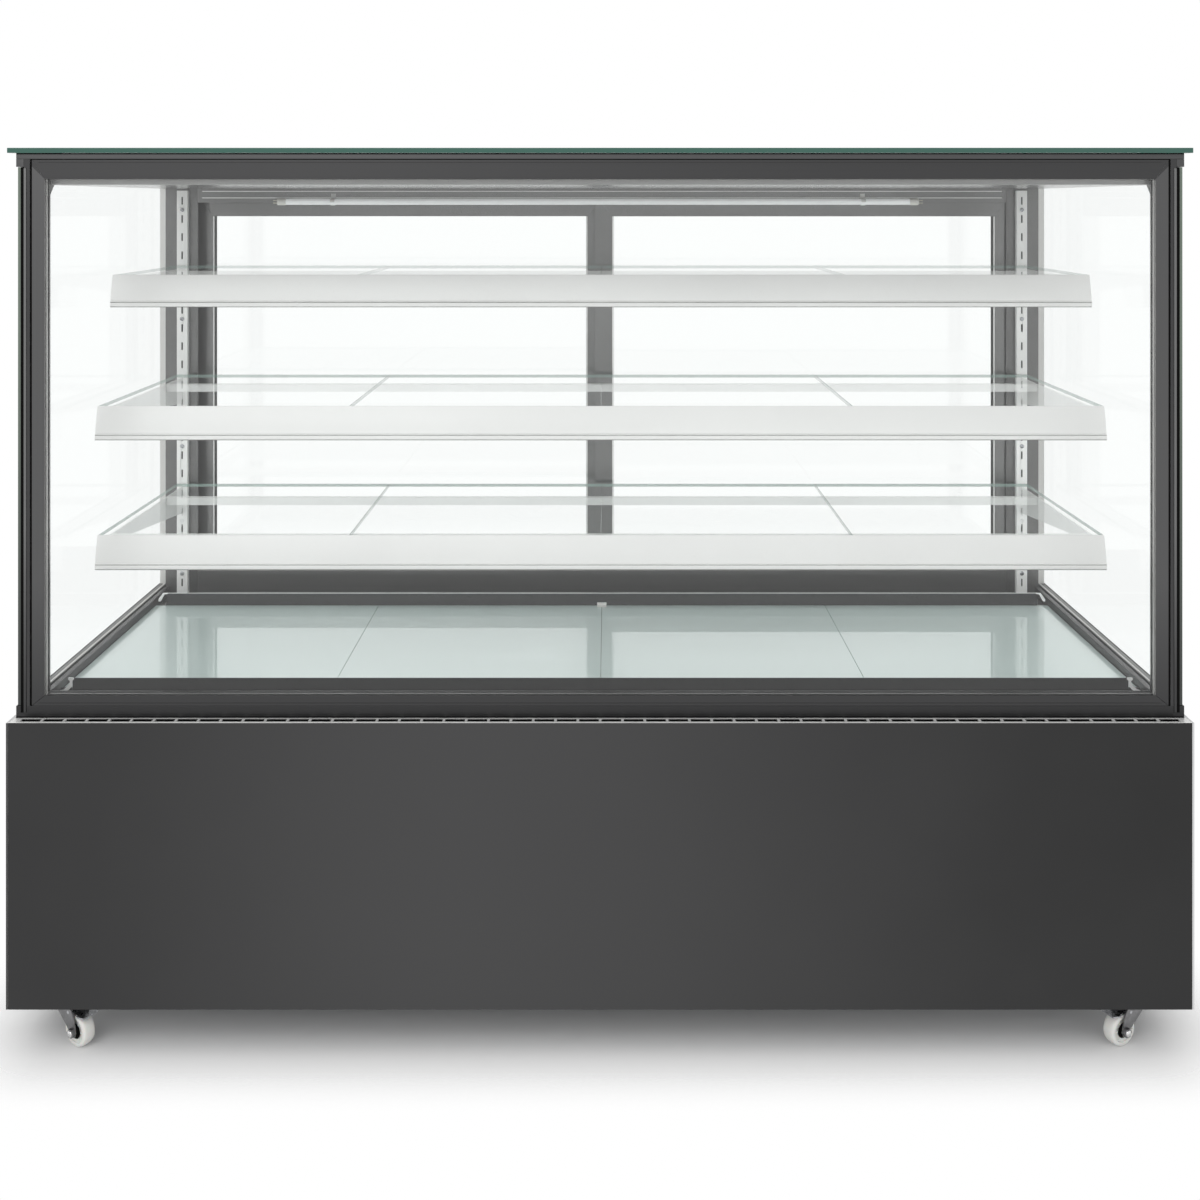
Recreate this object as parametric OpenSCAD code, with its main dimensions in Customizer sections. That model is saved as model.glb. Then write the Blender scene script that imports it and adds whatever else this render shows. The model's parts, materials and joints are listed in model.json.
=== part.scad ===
// Refrigerated deli case: a glass cabinet with three shelves and a cold deck on a closed base.
// X runs across the case, +Y points to the service side, +Z is up. The origin is on the floor
// under the middle of the case.

/* [Case] */
// Width over the base's side panels
base_w = 1800; // [1760:10:1860]
// Depth from the front panel to the side panels' rear edges
base_d = 730; // [720:2:760]
// Height to the upper face of the top glass
case_h = 1380; // [1370:2:1420]
// Height of the base panels above the caster plates
base_h = 434; // [420:2:450]
// Height of the casters under the base
caster_h = 74; // [74:1:80]

/* [Cabinet] */
// Step from a base side panel in to the cabinet
side_ledge = 6; // [5:1:8]
// Depth of the ventilated ledge behind the front panel's top edge
front_ledge = 22; // [20:1:26]
// Thickness of the top glass
top_glass_t = 8; // [6:1:8]
// Overhang of the top glass past the base's sides
top_overhang = 5; // [3:1:8]
// Thickness of each window pane
pane_t = 5; // [4:1:5]
// Face width of the front sash's stiles
sash_stile = 20; // [18:1:22]
// Depth of the front sash
sash_d = 22; // [22:1:24]

/* [Shelves and deck] */
// Height of the lowest shelf's glass
shelf_z = 740; // [704:36:776]
// Pitch between shelves, a whole number of standard slots
shelf_pitch = 216; // [180:36:216]
// Depth of the middle and lower shelves
shelf_d = 420; // [400:10:440]
// Depth of the top shelf
top_shelf_d = 350; // [330:10:380]
// Thickness of the shelf and deck glass
shelf_t = 6; // [5:1:6]
// Panes in each shelf and in the deck
pane_count = 4; // [3:1:5]
// Height of the ticket strips
strip_h = 55; // [45:5:60]

/* [Doors] */
// Thickness of the sliding doors
door_t = 18; // [16:1:19]
// Face width of the door stiles
door_stile = 37; // [34:1:40]

/* [Casters] */
// Radius of the wheels
wheel_r = 25; // [24:1:25]
// Width of the wheels
wheel_w = 20; // [18:1:20]
// Distance from the swivel axis back to the axle
caster_trail = 24; // [22:1:26]
// Trail direction of the front left and front right casters, from +X
front_yaw = [-33, 207];
// Trail direction of the rear left and rear right casters, from +X
rear_yaw = [75, 105];

/* [Hidden] */

// Resolution of round shapes
$fn = 48;
// Gap that keeps neighbouring solids of one node apart
gap = 0.2;
// Overshoot of a cutting shape
over = 1;

// Planes of the base
half_w = base_w / 2;
front_y = -base_d / 2;
rear_y = base_d / 2;
base_z = caster_h;
base_top = base_z + base_h;
sheet = 1.5;
thin_sheet = 1;
panel_t = 3.1;
panel_half = half_w - panel_t;
cover_y = rear_y - 22;
cover_split_z = base_z + 256;
frame_tube = 30;
frame_half = panel_half - 3;
frame_front = front_y + 17;
frame_rear = cover_y - 2;
ledge_t = 1.9;
rail_z = base_top - 2;

// Planes of the cabinet
cab_half = half_w - side_ledge;
cab_front = front_y + front_ledge;
cab_rear = rear_y - 20;
top_glass_z = case_h - top_glass_t;
trim_h = 9;
trim_w = 20;
trim_z = top_glass_z - trim_h;
sash_z = base_top + 18;
sash_top = trim_z - 1;
sash_half = cab_half - 24;
sash_bottom_rail = 16;
sash_top_rail = 30;
ceiling_z = sash_top - 38;

// Side windows: outer pane, spacer and inner pane, from the outside inwards
pane_out = cab_half - 2;
pane_in = pane_out - 22;
window_z = [base_top + 8, trim_z - 12.5];
window_rear = cab_rear - 15;
window_front = cab_front + 2;
pane_fit = 0.3;
inner_front = cab_front + 45;
spacer_w = 8;
spacer_lines = [inner_front + spacer_w, window_rear - 20, base_top + 23.5, trim_z - 28];

// Cabinet profiles
wall_in = cab_half - 33;
post_depth = 44;
rear_post_in = cab_half - 90;
door_channel = 18;
window_leg = 64;
rear_face = cab_rear - 60;
sill_lip_z = base_top + 57;
sill_top_z = base_top + 48;
header_z = ceiling_z - 28;
section_wall = 3;

// Sliding doors: each has a centre plane, an outer edge and an inner edge
door_z = [sill_top_z + 1.5, header_z + 12];
door_glass_z = [base_top + 92, header_z - 27];
inner_track = rear_face + 16;
outer_track = rear_face + 42;
door_edge = rear_post_in + 13;
left_door_x = [-door_edge, 5];
right_door_x = [-14, door_edge];
track_rib = [3, 8];
door_pane_t = 4;
door_pane_offset = 6;
glass_grip = 8;

// Tub and deck
deck_z = base_top + 12;
tub_half = wall_in - 1;
tub_y = [cab_front + 28.5, rear_face - 1];
tub_floor = base_top - 138;
tub_wall = 18;
tub_rim = deck_z - shelf_t;
liner_t = 1.2;
deck_y = [front_y + 107, rear_face - 84];
deck_lip_half = tub_half - 20;
lip_t = 2;
front_lip_z = deck_z + 20;
rear_lip_z = deck_z + 23;

// Evaporator
evap_fan_x = 300;
evap_fan_r = 47;
evap_fan_z = tub_floor + 80;
baffle_y = -166;

// Condensing unit
condenser_c = [-590, -220, base_z + 146];
condenser_size = [340, 60, 240];
condenser_fan_r = 98;
condenser_fan_y = -150;
compressor_c = [-230, 20];
compressor_r = 85;

// Shelves
standard_half = 842;
standard_w = 21;
standard_d = 12;
standard_z = [base_top + 14, ceiling_z - 4];
slot_pitch = 36;
slot_size = [3, 15];
slot_x = standard_half - 10.5;
slot_base = shelf_z - 16 - 5 * slot_pitch;
slot_count = floor((standard_z[1] - 12 - slot_base) / slot_pitch) + 1;
standard_screw_slots = [0.5, 7.5, 14.5, 20.5];
shelf_rear = rear_face - 13;
shelf_half = standard_half;
arm_t = 2.4;
arm_rear_h = 52;
arm_front_h = 14;
hook_h = 6;
bar_y = rear_face - 107;
bar_size = [14, 14];
strip_lean = 11.5;
strip_t = 2;
strip_rib = [3.5, 10.6];

// Lamp
led_x = -8;
led_len = 1270;
led_r = 6;
led_y = rear_face - 8;
led_z = header_z + 2;
clip_spread = 526;

// Controls on the rear cover
controller_x = -600;
control_z = base_top - 70;
controller_size = [78, 36];
switch_x = [-500, -460];
rocker_r = 9.5;
rocker_w = 12;
rocker_y = cover_y - 1;
rocker_rest = 8;
gland_x = 830;
gland_z = base_z + 50;
gland_bore = 5;

// Casters
caster_x = half_w - 79;
caster_y = [front_y + 49, rear_y - 65];
kingpin_r = 5;
axle_r = 4;
running_gap = 0.06;
crown_z = 56;
fork_in = wheel_w / 2 + 2.5;
fork_t = 2.5;
pedal_pivot = [14, 53];
pedal_pin_r = 2.4;
pedal_pressed = 8;

// Shared shapes

// Box between two corners, given as [low, high] along X, Y and Z
module block(x, y, z) {
    translate([x[0], y[0], z[0]])
        cube([x[1] - x[0], y[1] - y[0], z[1] - z[0]]);
}

// The children and their mirror image across the middle of the case
module both_sides() {
    children();
    mirror([1, 0, 0]) children();
}

// Section in the Y-Z plane, extruded across the case from x0 to x1
module across(x0, x1) {
    translate([x0, 0, 0])
        rotate([90, 0, 90])
            linear_extrude(x1 - x0)
                children();
}

// Section in the X-Z plane, extruded from front to back
module fore_aft(y0, y1) {
    translate([0, y1, 0])
        rotate([90, 0, 0])
            linear_extrude(y1 - y0)
                children();
}

// Section in the X-Y plane, extruded upwards
module upright(z0, z1) {
    translate([0, 0, z0])
        linear_extrude(z1 - z0)
            children();
}

// Round bar along Y
module round_y(c, r, y0, y1) {
    translate([c[0], y1, c[1]])
        rotate([90, 0, 0])
            cylinder(r = r, h = y1 - y0);
}

// Round bar along X
module round_x(c, r, x0, x1) {
    translate([x0, c[0], c[1]])
        rotate([0, 90, 0])
            cylinder(r = r, h = x1 - x0);
}

// Rectangle given as [low, high] pairs
module rect(u, v) {
    translate([u[0], v[0]])
        square([u[1] - u[0], v[1] - v[0]]);
}

// Closed ring between two rectangles
module rect_ring(u, v, w) {
    difference() {
        rect(u, v);
        rect([u[0] + w, u[1] - w], [v[0] + w, v[1] - w]);
    }
}

// Mitred quarter of a rectangular ring: side 0 to 3 is bottom, top, left and right
module mitre_quarter(side, u, v, in_u, in_v) {
    g = gap / 2;
    if (side < 2)
        polygon([[u[0], v[side]], [in_u[0], in_v[side]], [in_u[1], in_v[side]], [u[1], v[side]]]);
    else
        polygon([[u[side - 2], v[0] + g], [in_u[side - 2], in_v[0] + g],
                 [in_u[side - 2], in_v[1] - g], [u[side - 2], v[1] - g]]);
}

// Pipe run through a list of points, with a ball at each bend
module pipe_run(points, r) {
    for (i = [0 : len(points) - 2]) {
        step = points[i + 1] - points[i];
        run = norm(step);
        tilt = acos(step[2] / run);
        turn = atan2(step[1], step[0]);
        translate(points[i]) {
            sphere(r = r);
            rotate([0, tilt, turn]) cylinder(r = r, h = run);
        }
    }
    translate(points[len(points) - 1]) sphere(r = r);
}

// Screw positions as [x, z] pairs, and the size of the screws
screw_r = 2;
screw_hole_r = 2.1;
grille_screws = [for (x = [-860, -290, 290, 860], z = [base_z + 16, cover_split_z - 10]) [x, z]];
cover_screws = [for (x = [-860, -290, 290, 860], z = [cover_split_z + 10, base_top - 14]) [x, z]];
function standard_screw_z(k) = slot_base + slot_pitch * k;

// Base

module base_frame() {
    lower = [base_z + 2, base_z + 2 + frame_tube];
    upper = [rail_z - frame_tube, rail_z];
    span_y = [frame_front, frame_rear];
    posts_x = [frame_half - frame_tube, 300 + frame_tube / 2];
    posts_y = [span_y[0], span_y[1] - frame_tube];
    color("dimgray") {
        difference() {
            for (z = [lower, upper], y = posts_y)
                fore_aft_tube([-frame_half, frame_half], y, z);
            for (s = concat(grille_screws, cover_screws))
                round_y(s, screw_hole_r, frame_rear - 2 * sheet, frame_rear + over);
        }
        for (z = [lower, upper], x = [-frame_half, frame_half - frame_tube])
            side_tube(x, [posts_y[0] + frame_tube, posts_y[1]], z);
        for (y = posts_y, x = posts_x)
            both_sides() upright_tube(x, y, [lower[1], upper[0]]);
    }
}

// Hollow tube across the case
module fore_aft_tube(x, y, z) {
    across(x[0], x[1])
        rect_ring([y, y + frame_tube], z, sheet);
}

// Hollow tube from front to back
module side_tube(x, y, z) {
    fore_aft(y[0], y[1])
        rect_ring([x, x + frame_tube], z, sheet);
}

// Hollow vertical tube
module upright_tube(x, y, z) {
    upright(z[0], z[1])
        rect_ring([x, x + frame_tube], [y, y + frame_tube], sheet);
}

module base_pan() {
    color("silver")
        block([-panel_half + gap, panel_half - gap], [front_y + sheet + gap, cover_y - gap],
              [base_z, base_z + thin_sheet]);
}

module front_panel() {
    half = panel_half - 0.1;
    color("dimgray") {
        block([-half, half], [front_y, front_y + sheet], [base_z, base_top]);
        block([-half, half], [front_y + sheet, frame_front - gap],
              [base_top - ledge_t - sheet - gap, base_top - ledge_t - gap]);
    }
}

module side_panels() {
    skin = half_w - 1.2;
    color("lightgray")
        both_sides() {
            block([skin, half_w], [front_y, rear_y], [base_z, base_top]);
            block([panel_half, skin], [front_y, front_y + sheet], [base_z, base_top]);
            block([panel_half, skin], [front_y, cab_front + gap], [base_top - sheet, base_top]);
            block([cab_half + gap, skin], [cab_front + gap, rear_y], [base_top - sheet, base_top]);
            block([panel_half - 12, skin], [rear_y - sheet, rear_y], [base_z, base_top]);
        }
}

module ledge_grille() {
    slot = [30, 9];
    pitch = 34;
    half = panel_half - 0.1;
    ledge_y = [front_y + sheet + 0.1, cab_front - gap];
    slots = floor((2 * half - 20) / pitch);
    color("gray")
        difference() {
            block([-half, half], ledge_y, [base_top - ledge_t, base_top]);
            for (i = [0 : slots - 1])
                translate([(i - (slots - 1) / 2) * pitch, (ledge_y[0] + ledge_y[1]) / 2, base_top])
                    cube([slot[0], slot[1], 4 * ledge_t], center = true);
        }
}

module rear_cover() {
    half = panel_half - 0.3;
    color("lightgray")
        difference() {
            block([-half, half], [cover_y, cover_y + sheet], [cover_split_z + 1, rail_z - gap]);
            for (s = cover_screws)
                round_y(s, screw_hole_r, cover_y - over, cover_y + sheet + over);
            window_cut(controller_x, [72, 30]);
            for (x = switch_x)
                window_cut(x, [18.4, 26.4]);
        }
}

// Rectangular cut-out through the rear cover at the height of the controls
module window_cut(x, size) {
    translate([x, cover_y, control_z])
        cube([size[0], 4 * sheet, size[1]], center = true);
}

module rear_grille() {
    louvre = [280, 7];
    columns = [-700, -350, 0, 350, 700];
    rows = 9;
    row_pitch = 24;
    half = panel_half - 0.3;
    first_z = base_z + 36;
    color("lightgray") {
        difference() {
            block([-half, half], [cover_y, cover_y + sheet], [base_z + 4, cover_split_z]);
            for (s = grille_screws)
                round_y(s, screw_hole_r, cover_y - over, cover_y + sheet + over);
            round_y([gland_x, gland_z], 10.1, cover_y - over, cover_y + sheet + over);
            for (x = columns, i = [0 : rows - 1])
                translate([x, cover_y, first_z + i * row_pitch])
                    cube([louvre[0] - 60 * (abs(x) > 600 ? 1 : 0), 4 * sheet, louvre[1]], center = true);
        }
        for (x = columns, i = [0 : rows - 1])
            louvre_hood(x, louvre[0] - 60 * (abs(x) > 600 ? 1 : 0), first_z + i * row_pitch + louvre[1] / 2);
    }
}

// Slanted hood over one louvre slot
module louvre_hood(x, w, z) {
    y = cover_y + sheet;
    across(x - w / 2, x + w / 2)
        polygon([[y - 0.5, z + 0.5], [y - 0.5, z - 0.5], [y + 4, z - 5.5], [y + 5, z - 4.5], [y, z + 1.5]]);
}

// Insulated tub

module tub_liner() {
    inner_y = [tub_y[0] + tub_wall - 1.5, tub_y[1] - tub_wall];
    inner_x = tub_half - tub_wall;
    color("gainsboro")
        difference() {
            union() {
                block([-inner_x - liner_t, inner_x + liner_t],
                      [inner_y[0] - liner_t, inner_y[1] + liner_t],
                      [tub_floor + tub_wall, tub_rim]);
                block([-tub_half, tub_half], tub_y, [tub_rim - liner_t, tub_rim]);
            }
            block([-inner_x, inner_x], inner_y, [tub_floor + tub_wall + liner_t, tub_rim + over]);
        }
}

module tub_foam() {
    inner_y = [tub_y[0] + tub_wall - 1.5, tub_y[1] - tub_wall];
    inner_x = tub_half - tub_wall;
    color("khaki")
        difference() {
            block([-tub_half, tub_half], tub_y, [tub_floor, tub_rim - liner_t - 0.1]);
            block([-inner_x - liner_t - 0.1, inner_x + liner_t + 0.1],
                  [inner_y[0] - liner_t - 0.1, inner_y[1] + liner_t + 0.1],
                  [tub_floor + tub_wall - 0.1, tub_rim + over]);
        }
}

// Fin pack with tubes across it: half width, [low, high] in Y and Z, and the number of fins
module fin_pack(half, y, z, fins, tubes_y, tubes_z) {
    fin_t = 0.8;
    step = (2 * half - 2 * fin_t) / (fins - 1);
    for (i = [0 : fins - 1])
        translate([-half + fin_t + i * step, (y[0] + y[1]) / 2, (z[0] + z[1]) / 2])
            cube([fin_t, y[1] - y[0], z[1] - z[0]], center = true);
    for (ty = tubes_y, tz = tubes_z)
        round_x([ty, tz], 4.5, -half - 8, half + 8);
}

module evaporator_coil() {
    y = [-110, 90];
    z = [tub_floor + tub_wall + liner_t + 4, tub_rim - 12];
    mid_z = (z[0] + z[1]) / 2;
    color("silver")
        fin_pack(600, y, z, 25, [-60, 40], [mid_z - 25, mid_z + 25]);
}

module evaporator_fan_housings() {
    half = tub_half - tub_wall - 0.5;
    z = [tub_floor + tub_wall + liner_t + 0.5, tub_rim - 3];
    ring = [evap_fan_r + 3, evap_fan_r + 6];
    color("darkgray")
        difference() {
            union() {
                block([-half, half], [baffle_y, baffle_y + lip_t], z);
                both_sides()
                    round_y([evap_fan_x, evap_fan_z], ring[1], baffle_y - 26, baffle_y);
            }
            both_sides()
                round_y([evap_fan_x, evap_fan_z], ring[0], baffle_y - 26 - over, baffle_y + lip_t + over);
        }
    color("dimgray")
        both_sides() {
            round_y([evap_fan_x, evap_fan_z], 16, baffle_y + 4, baffle_y + 26);
            round_y([evap_fan_x, evap_fan_z], 3, baffle_y - 18, baffle_y + 4);
            translate([evap_fan_x, baffle_y + 10, evap_fan_z])
                for (a = [45, 135])
                    rotate([0, a, 0])
                        cube([2 * ring[1] + 6, 6, 5], center = true);
            for (a = [45 : 90 : 315])
                translate([evap_fan_x, baffle_y, evap_fan_z])
                    rotate([0, a, 0])
                        translate([ring[1], 5, 0])
                            cube([5, 14, 5], center = true);
        }
}

// Axial fan around the Y axis: hub with a bore for its shaft, and pitched blades
module fan_rotor(r, hub_r, shaft_r, depth, blades, chord) {
    difference() {
        union() {
            round_y([0, 0], hub_r, -depth / 2, depth / 2);
            for (i = [0 : blades - 1])
                rotate([0, i * 360 / blades, 0])
                    translate([(r + hub_r - 2) / 2, 0, 0])
                        rotate([32, 0, 0])
                            cube([r - hub_r + 2, 1.6, chord], center = true);
        }
        round_y([0, 0], shaft_r + running_gap, -depth, depth / 2 - 2);
    }
}

module evaporator_fan(side) {
    color("white")
        translate([side * evap_fan_x, baffle_y - 13, evap_fan_z])
            mirror([0, 1, 0])
                fan_rotor(evap_fan_r, 14, 3, 16, 5, 26);
}

module evaporator_fan_left() {
    evaporator_fan(-1);
}

module evaporator_fan_right() {
    evaporator_fan(1);
}

// Condensing unit

module condenser_coil() {
    half = condenser_size[0] / 2 - 10;
    y = [condenser_c[1] - condenser_size[1] / 2, condenser_c[1] + condenser_size[1] / 2];
    z = [condenser_c[2] - condenser_size[2] / 2, condenser_c[2] + condenser_size[2] / 2];
    rows_z = [for (i = [0 : 5]) z[0] + 20 + i * 40];
    color("silver")
        translate([condenser_c[0], 0, 0])
            fin_pack(half, y, z, 27, [condenser_c[1] - 14, condenser_c[1] + 14], rows_z);
}

module condenser_fan_mount() {
    half = condenser_size[0] / 2;
    plate_y = condenser_c[1] + condenser_size[1] / 2 + 3;
    ring_end = condenser_fan_y + 14;
    z = [base_z + 3, condenser_c[2] + condenser_size[2] / 2 + 4];
    c = [condenser_c[0], condenser_c[2]];
    hole_r = condenser_fan_r + 4;
    bracket_y = [condenser_fan_y + 40, condenser_fan_y + 76];
    color("dimgray") {
        difference() {
            union() {
                block([c[0] - half, c[0] + half], [plate_y, plate_y + lip_t], z);
                round_y(c, hole_r + lip_t, plate_y, ring_end);
            }
            round_y(c, hole_r, plate_y - over, ring_end + over);
        }
        round_y(c, 34, condenser_fan_y + 24, condenser_fan_y + 92);
        round_y(c, 5, condenser_fan_y - 8, condenser_fan_y + 24);
        difference() {
            block([c[0] - 20, c[0] + 20], bracket_y, [z[0], c[1]]);
            block([c[0] - 16, c[0] + 16], [bracket_y[0] + 4, bracket_y[1] - 4], [z[0] - over, c[1] - 30]);
        }
    }
}

module condenser_fan() {
    color("gray")
        translate([condenser_c[0], condenser_fan_y, condenser_c[2]])
            mirror([0, 1, 0])
                fan_rotor(condenser_fan_r, 24, 5, 22, 5, 44);
}

module compressor() {
    r = compressor_r;
    foot = 26;
    body_h = 178;
    color("black")
        translate([compressor_c[0], compressor_c[1], base_z + sheet]) {
            translate([0, 0, foot])
                rotate_extrude()
                    compressor_half_section(r, body_h);
            translate([0, 0, foot - 3])
                linear_extrude(4)
                    square([2 * r + 30, 2 * r - 40], center = true);
            for (x = [-1, 1], y = [-1, 1])
                translate([x * (r + 2), y * (r - 34), 0.2])
                    cylinder(r = 11, h = foot - 3.2);
            translate([r - 6, 0, foot + 70])
                cube([40, 56, 60], center = true);
        }
}

// Half section of a drawn shell with a rounded top and a belt at the weld
module compressor_half_section(r, h) {
    crown = 46;
    arc = [for (a = [0 : 15 : 90]) [(r - crown) + crown * cos(a), h - crown + crown * sin(a)]];
    polygon(concat([[0, 0], [r - 10, 0], [r, 12], [r, h * 0.52], [r + 4, h * 0.52], [r + 4, h * 0.57],
                    [r, h * 0.57]], arc, [[0, h]]));
}

module refrigerant_pipes() {
    dome_z = base_z + sheet + 26 + 178;
    delivery_x = compressor_c[0] - 30;
    suction_x = compressor_c[0] + 30;
    coil_x = condenser_c[0] + condenser_size[0] / 2 + 13;
    coil_y = condenser_c[1];
    coil_z = condenser_c[2];
    receiver = [-60, -180];
    inlet_x = receiver[0] - 60;
    color("peru") {
        pipe_run([[delivery_x, compressor_c[1], dome_z + 4.2], [delivery_x, compressor_c[1], dome_z + 30],
                  [delivery_x, coil_y, dome_z + 30], [coil_x, coil_y, dome_z + 30],
                  [coil_x, coil_y, coil_z + 30]], 4);
        pipe_run([[coil_x, coil_y, coil_z - 80], [inlet_x, coil_y, coil_z - 80],
                  [inlet_x, receiver[1], coil_z - 80], [receiver[0] - 41, receiver[1], coil_z - 80]], 4);
        pipe_run([[receiver[0], receiver[1], base_z + 166], [receiver[0], receiver[1], base_z + 200],
                  [receiver[0], 140, base_z + 200], [receiver[0], 140, tub_floor - 5]], 3);
        pipe_run([[suction_x, compressor_c[1], dome_z + 5.2], [suction_x, compressor_c[1], dome_z + 46],
                  [suction_x, 160, dome_z + 46], [suction_x, 160, tub_floor - 6]], 5);
    }
    color("black")
        translate([receiver[0], receiver[1], base_z + sheet + 0.2]) {
            difference() {
                translate([0, 0, 14]) cylinder(r = 38, h = 146);
                translate([0, 0, 17]) cylinder(r = 35, h = 140);
            }
            cylinder(r = 26, h = 14);
        }
}

module condensate_pan() {
    x = [140, 520];
    y = [-150, 150];
    z = [base_z + sheet + 0.3, base_z + 46];
    color("gray")
        difference() {
            block(x, y, z);
            block([x[0] + lip_t, x[1] - lip_t], [y[0] + lip_t, y[1] - lip_t], [z[0] + lip_t, z[1] + over]);
        }
    color("white")
        translate([330, 0, base_z + 52]) {
            cylinder(r = 8, h = tub_floor - base_z - 53);
            translate([0, 0, -4]) cylinder(r = 10, h = 10);
        }
}

module electrical_box() {
    x = [600, 780];
    y = [120, 250];
    z = [base_z + sheet + 0.3, base_z + 216];
    wall = 2;
    color("silver") {
        difference() {
            block(x, y, z);
            block([x[0] + wall, x[1] - wall], [y[0] + wall, y[1] + over], [z[0] + wall, z[1] - wall]);
        }
        block([x[0] - 3, x[1] + 3], [y[1] + gap, y[1] + gap + sheet], [z[0] + 3, z[1] + 3]);
        for (i = [0 : 2])
            block([x[0] + 20 + 50 * i, x[0] + 58 + 50 * i], [y[0] + wall + gap, y[0] + 44],
                  [z[0] + 70, z[0] + 130]);
    }
}

// Controls

module control_panel() {
    face_y = cover_y + sheet;
    color("black") {
        difference() {
            translate([controller_x, face_y + 1.5, control_z])
                cube([controller_size[0], 3, controller_size[1]], center = true);
            translate([controller_x, face_y + 3, control_z])
                cube([controller_size[0] - 12, 1.2, controller_size[1] - 12], center = true);
        }
        translate([controller_x, face_y - 27.8, control_z])
            cube([70, 55, 28], center = true);
        for (x = switch_x)
            switch_housing(x);
    }
}

// Housing of one rocker switch, with a bearing hole in each cheek
module switch_housing(x) {
    face_y = cover_y + sheet;
    pocket = [rocker_w + 0.8, 40, 2 * rocker_r + 1];
    translate([x, 0, control_z])
        difference() {
            union() {
                block([-11, 11], [face_y + 0.05, face_y + 2.5], [-15, 15]);
                block([-9, 9], [face_y - 30, face_y + 0.1], [-13, 13]);
            }
            translate([0, rocker_y + 9, 0])
                cube(pocket, center = true);
            round_x([rocker_y, 0], 1.5 + running_gap, -8, 8);
        }
}

// Rocker that turns on its own round back, with a shallow valley across its face
module rocker(x) {
    valley = 6;
    translate([x, rocker_y, control_z])
        rotate([rocker_rest, 0, 0]) {
            difference() {
                round_x([0, 0], rocker_r, -rocker_w / 2, rocker_w / 2);
                across(-rocker_w, rocker_w)
                    polygon([[valley, 0], [rocker_r + over, 12], [rocker_r + 20, 12], [rocker_r + 20, -12],
                             [rocker_r + over, -12]]);
            }
            round_x([0, 0], 1.5, -7.5, 7.5);
        }
}

module power_switch() {
    color("darkgreen") rocker(switch_x[0]);
}

module light_switch() {
    color("black") rocker(switch_x[1]);
}

module cable_gland() {
    face_y = cover_y + sheet;
    c = [gland_x, gland_z];
    color("black")
        difference() {
            union() {
                round_y(c, 10, face_y - 12, face_y + 4);
                translate([c[0], face_y + 0.1, c[1]])
                    rotate([-90, 0, 0])
                        cylinder(r = 14, h = 5, $fn = 6);
                round_y(c, 11, face_y + 5, face_y + 13);
                round_y(c, 8, face_y + 13, face_y + 17);
                translate([c[0], face_y - 9, c[1]])
                    rotate([-90, 0, 0])
                        cylinder(r = 14, h = 5, $fn = 6);
            }
            round_y(c, gland_bore, face_y - 14, face_y + 18);
        }
}

// Pan-head screw whose head rests on the plane y, facing the given way
module screw(x, y, z, facing, length) {
    translate([x, y, z])
        rotate([-90 * facing, 0, 0]) {
            translate([0, 0, 0.05]) {
                cylinder(r = 4.2, h = 1.2);
                translate([0, 0, 1.2]) cylinder(r1 = 4.2, r2 = 2.6, h = 0.9);
            }
            translate([0, 0, -length]) cylinder(r = screw_r, h = length + 0.1);
        }
}

module fasteners() {
    color("silver") {
        for (s = concat(grille_screws, cover_screws))
            screw(s[0], cover_y + sheet, s[1], 1, 6);
        for (k = standard_screw_slots)
            both_sides()
                screw(slot_x, rear_face - standard_d, standard_screw_z(k), -1, standard_d + 2.8);
    }
}

// Cabinet structure

// Room for a rear post where a side rail passes it
module rear_post_clearance(z) {
    block([wall_in - over, rear_post_in + window_leg + gap], [rear_face - gap, cab_rear], z);
}

module plinth_rails() {
    floor_z = window_z[0] - 0.5;
    lip_z = base_top + 20;
    inner_z = base_top + 24;
    rail_start = inner_front - 1;
    front_rail_back = cab_front + 28;
    color("dimgray") {
        both_sides() {
            difference() {
                fore_aft(rail_start, window_rear + 0.8)
                    polygon([[wall_in, rail_z], [cab_half, rail_z], [cab_half, lip_z],
                             [pane_out + pane_fit, lip_z], [pane_out + pane_fit, floor_z],
                             [pane_in - pane_fit, floor_z], [pane_in - pane_fit, inner_z],
                             [wall_in, inner_z]]);
                rear_post_clearance([rail_z - over, inner_z + over]);
            }
            block([wall_in, cab_half], [front_rail_back, rail_start - gap], [rail_z, floor_z]);
            block([wall_in, pane_out - pane_t - pane_fit], [front_rail_back, rail_start - gap],
                  [rail_z, sash_z]);
        }
        difference() {
            block([-cab_half, cab_half], [cab_front, front_rail_back], [rail_z, sash_z]);
            both_sides()
                block([pane_out - pane_t - pane_fit, pane_out + pane_fit],
                      [window_front - pane_fit, front_rail_back + over], [floor_z, sash_z + over]);
        }
    }
}

module corner_posts() {
    front_out = sash_half + 12;
    front_strip = sash_half + 3;
    post_back = cab_front + post_depth;
    color("dimgray")
        both_sides() {
            upright(sash_z, trim_z)
                polygon([[front_strip, cab_front], [front_out, cab_front], [front_out, post_back],
                         [front_out - 22, post_back], [front_out - 22, cab_front + sash_d + gap],
                         [front_strip, cab_front + sash_d + gap]]);
            difference() {
                upright(rail_z, trim_z)
                    difference() {
                        rear_post_section();
                        rect([rear_post_in + door_channel + section_wall,
                              rear_post_in + window_leg - section_wall],
                             [rear_face + section_wall, cab_rear - section_wall]);
                    }
                for (k = standard_screw_slots)
                    round_y([slot_x, standard_screw_z(k)], screw_hole_r, rear_face - over, rear_face + 2.9);
            }
        }
}

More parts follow.
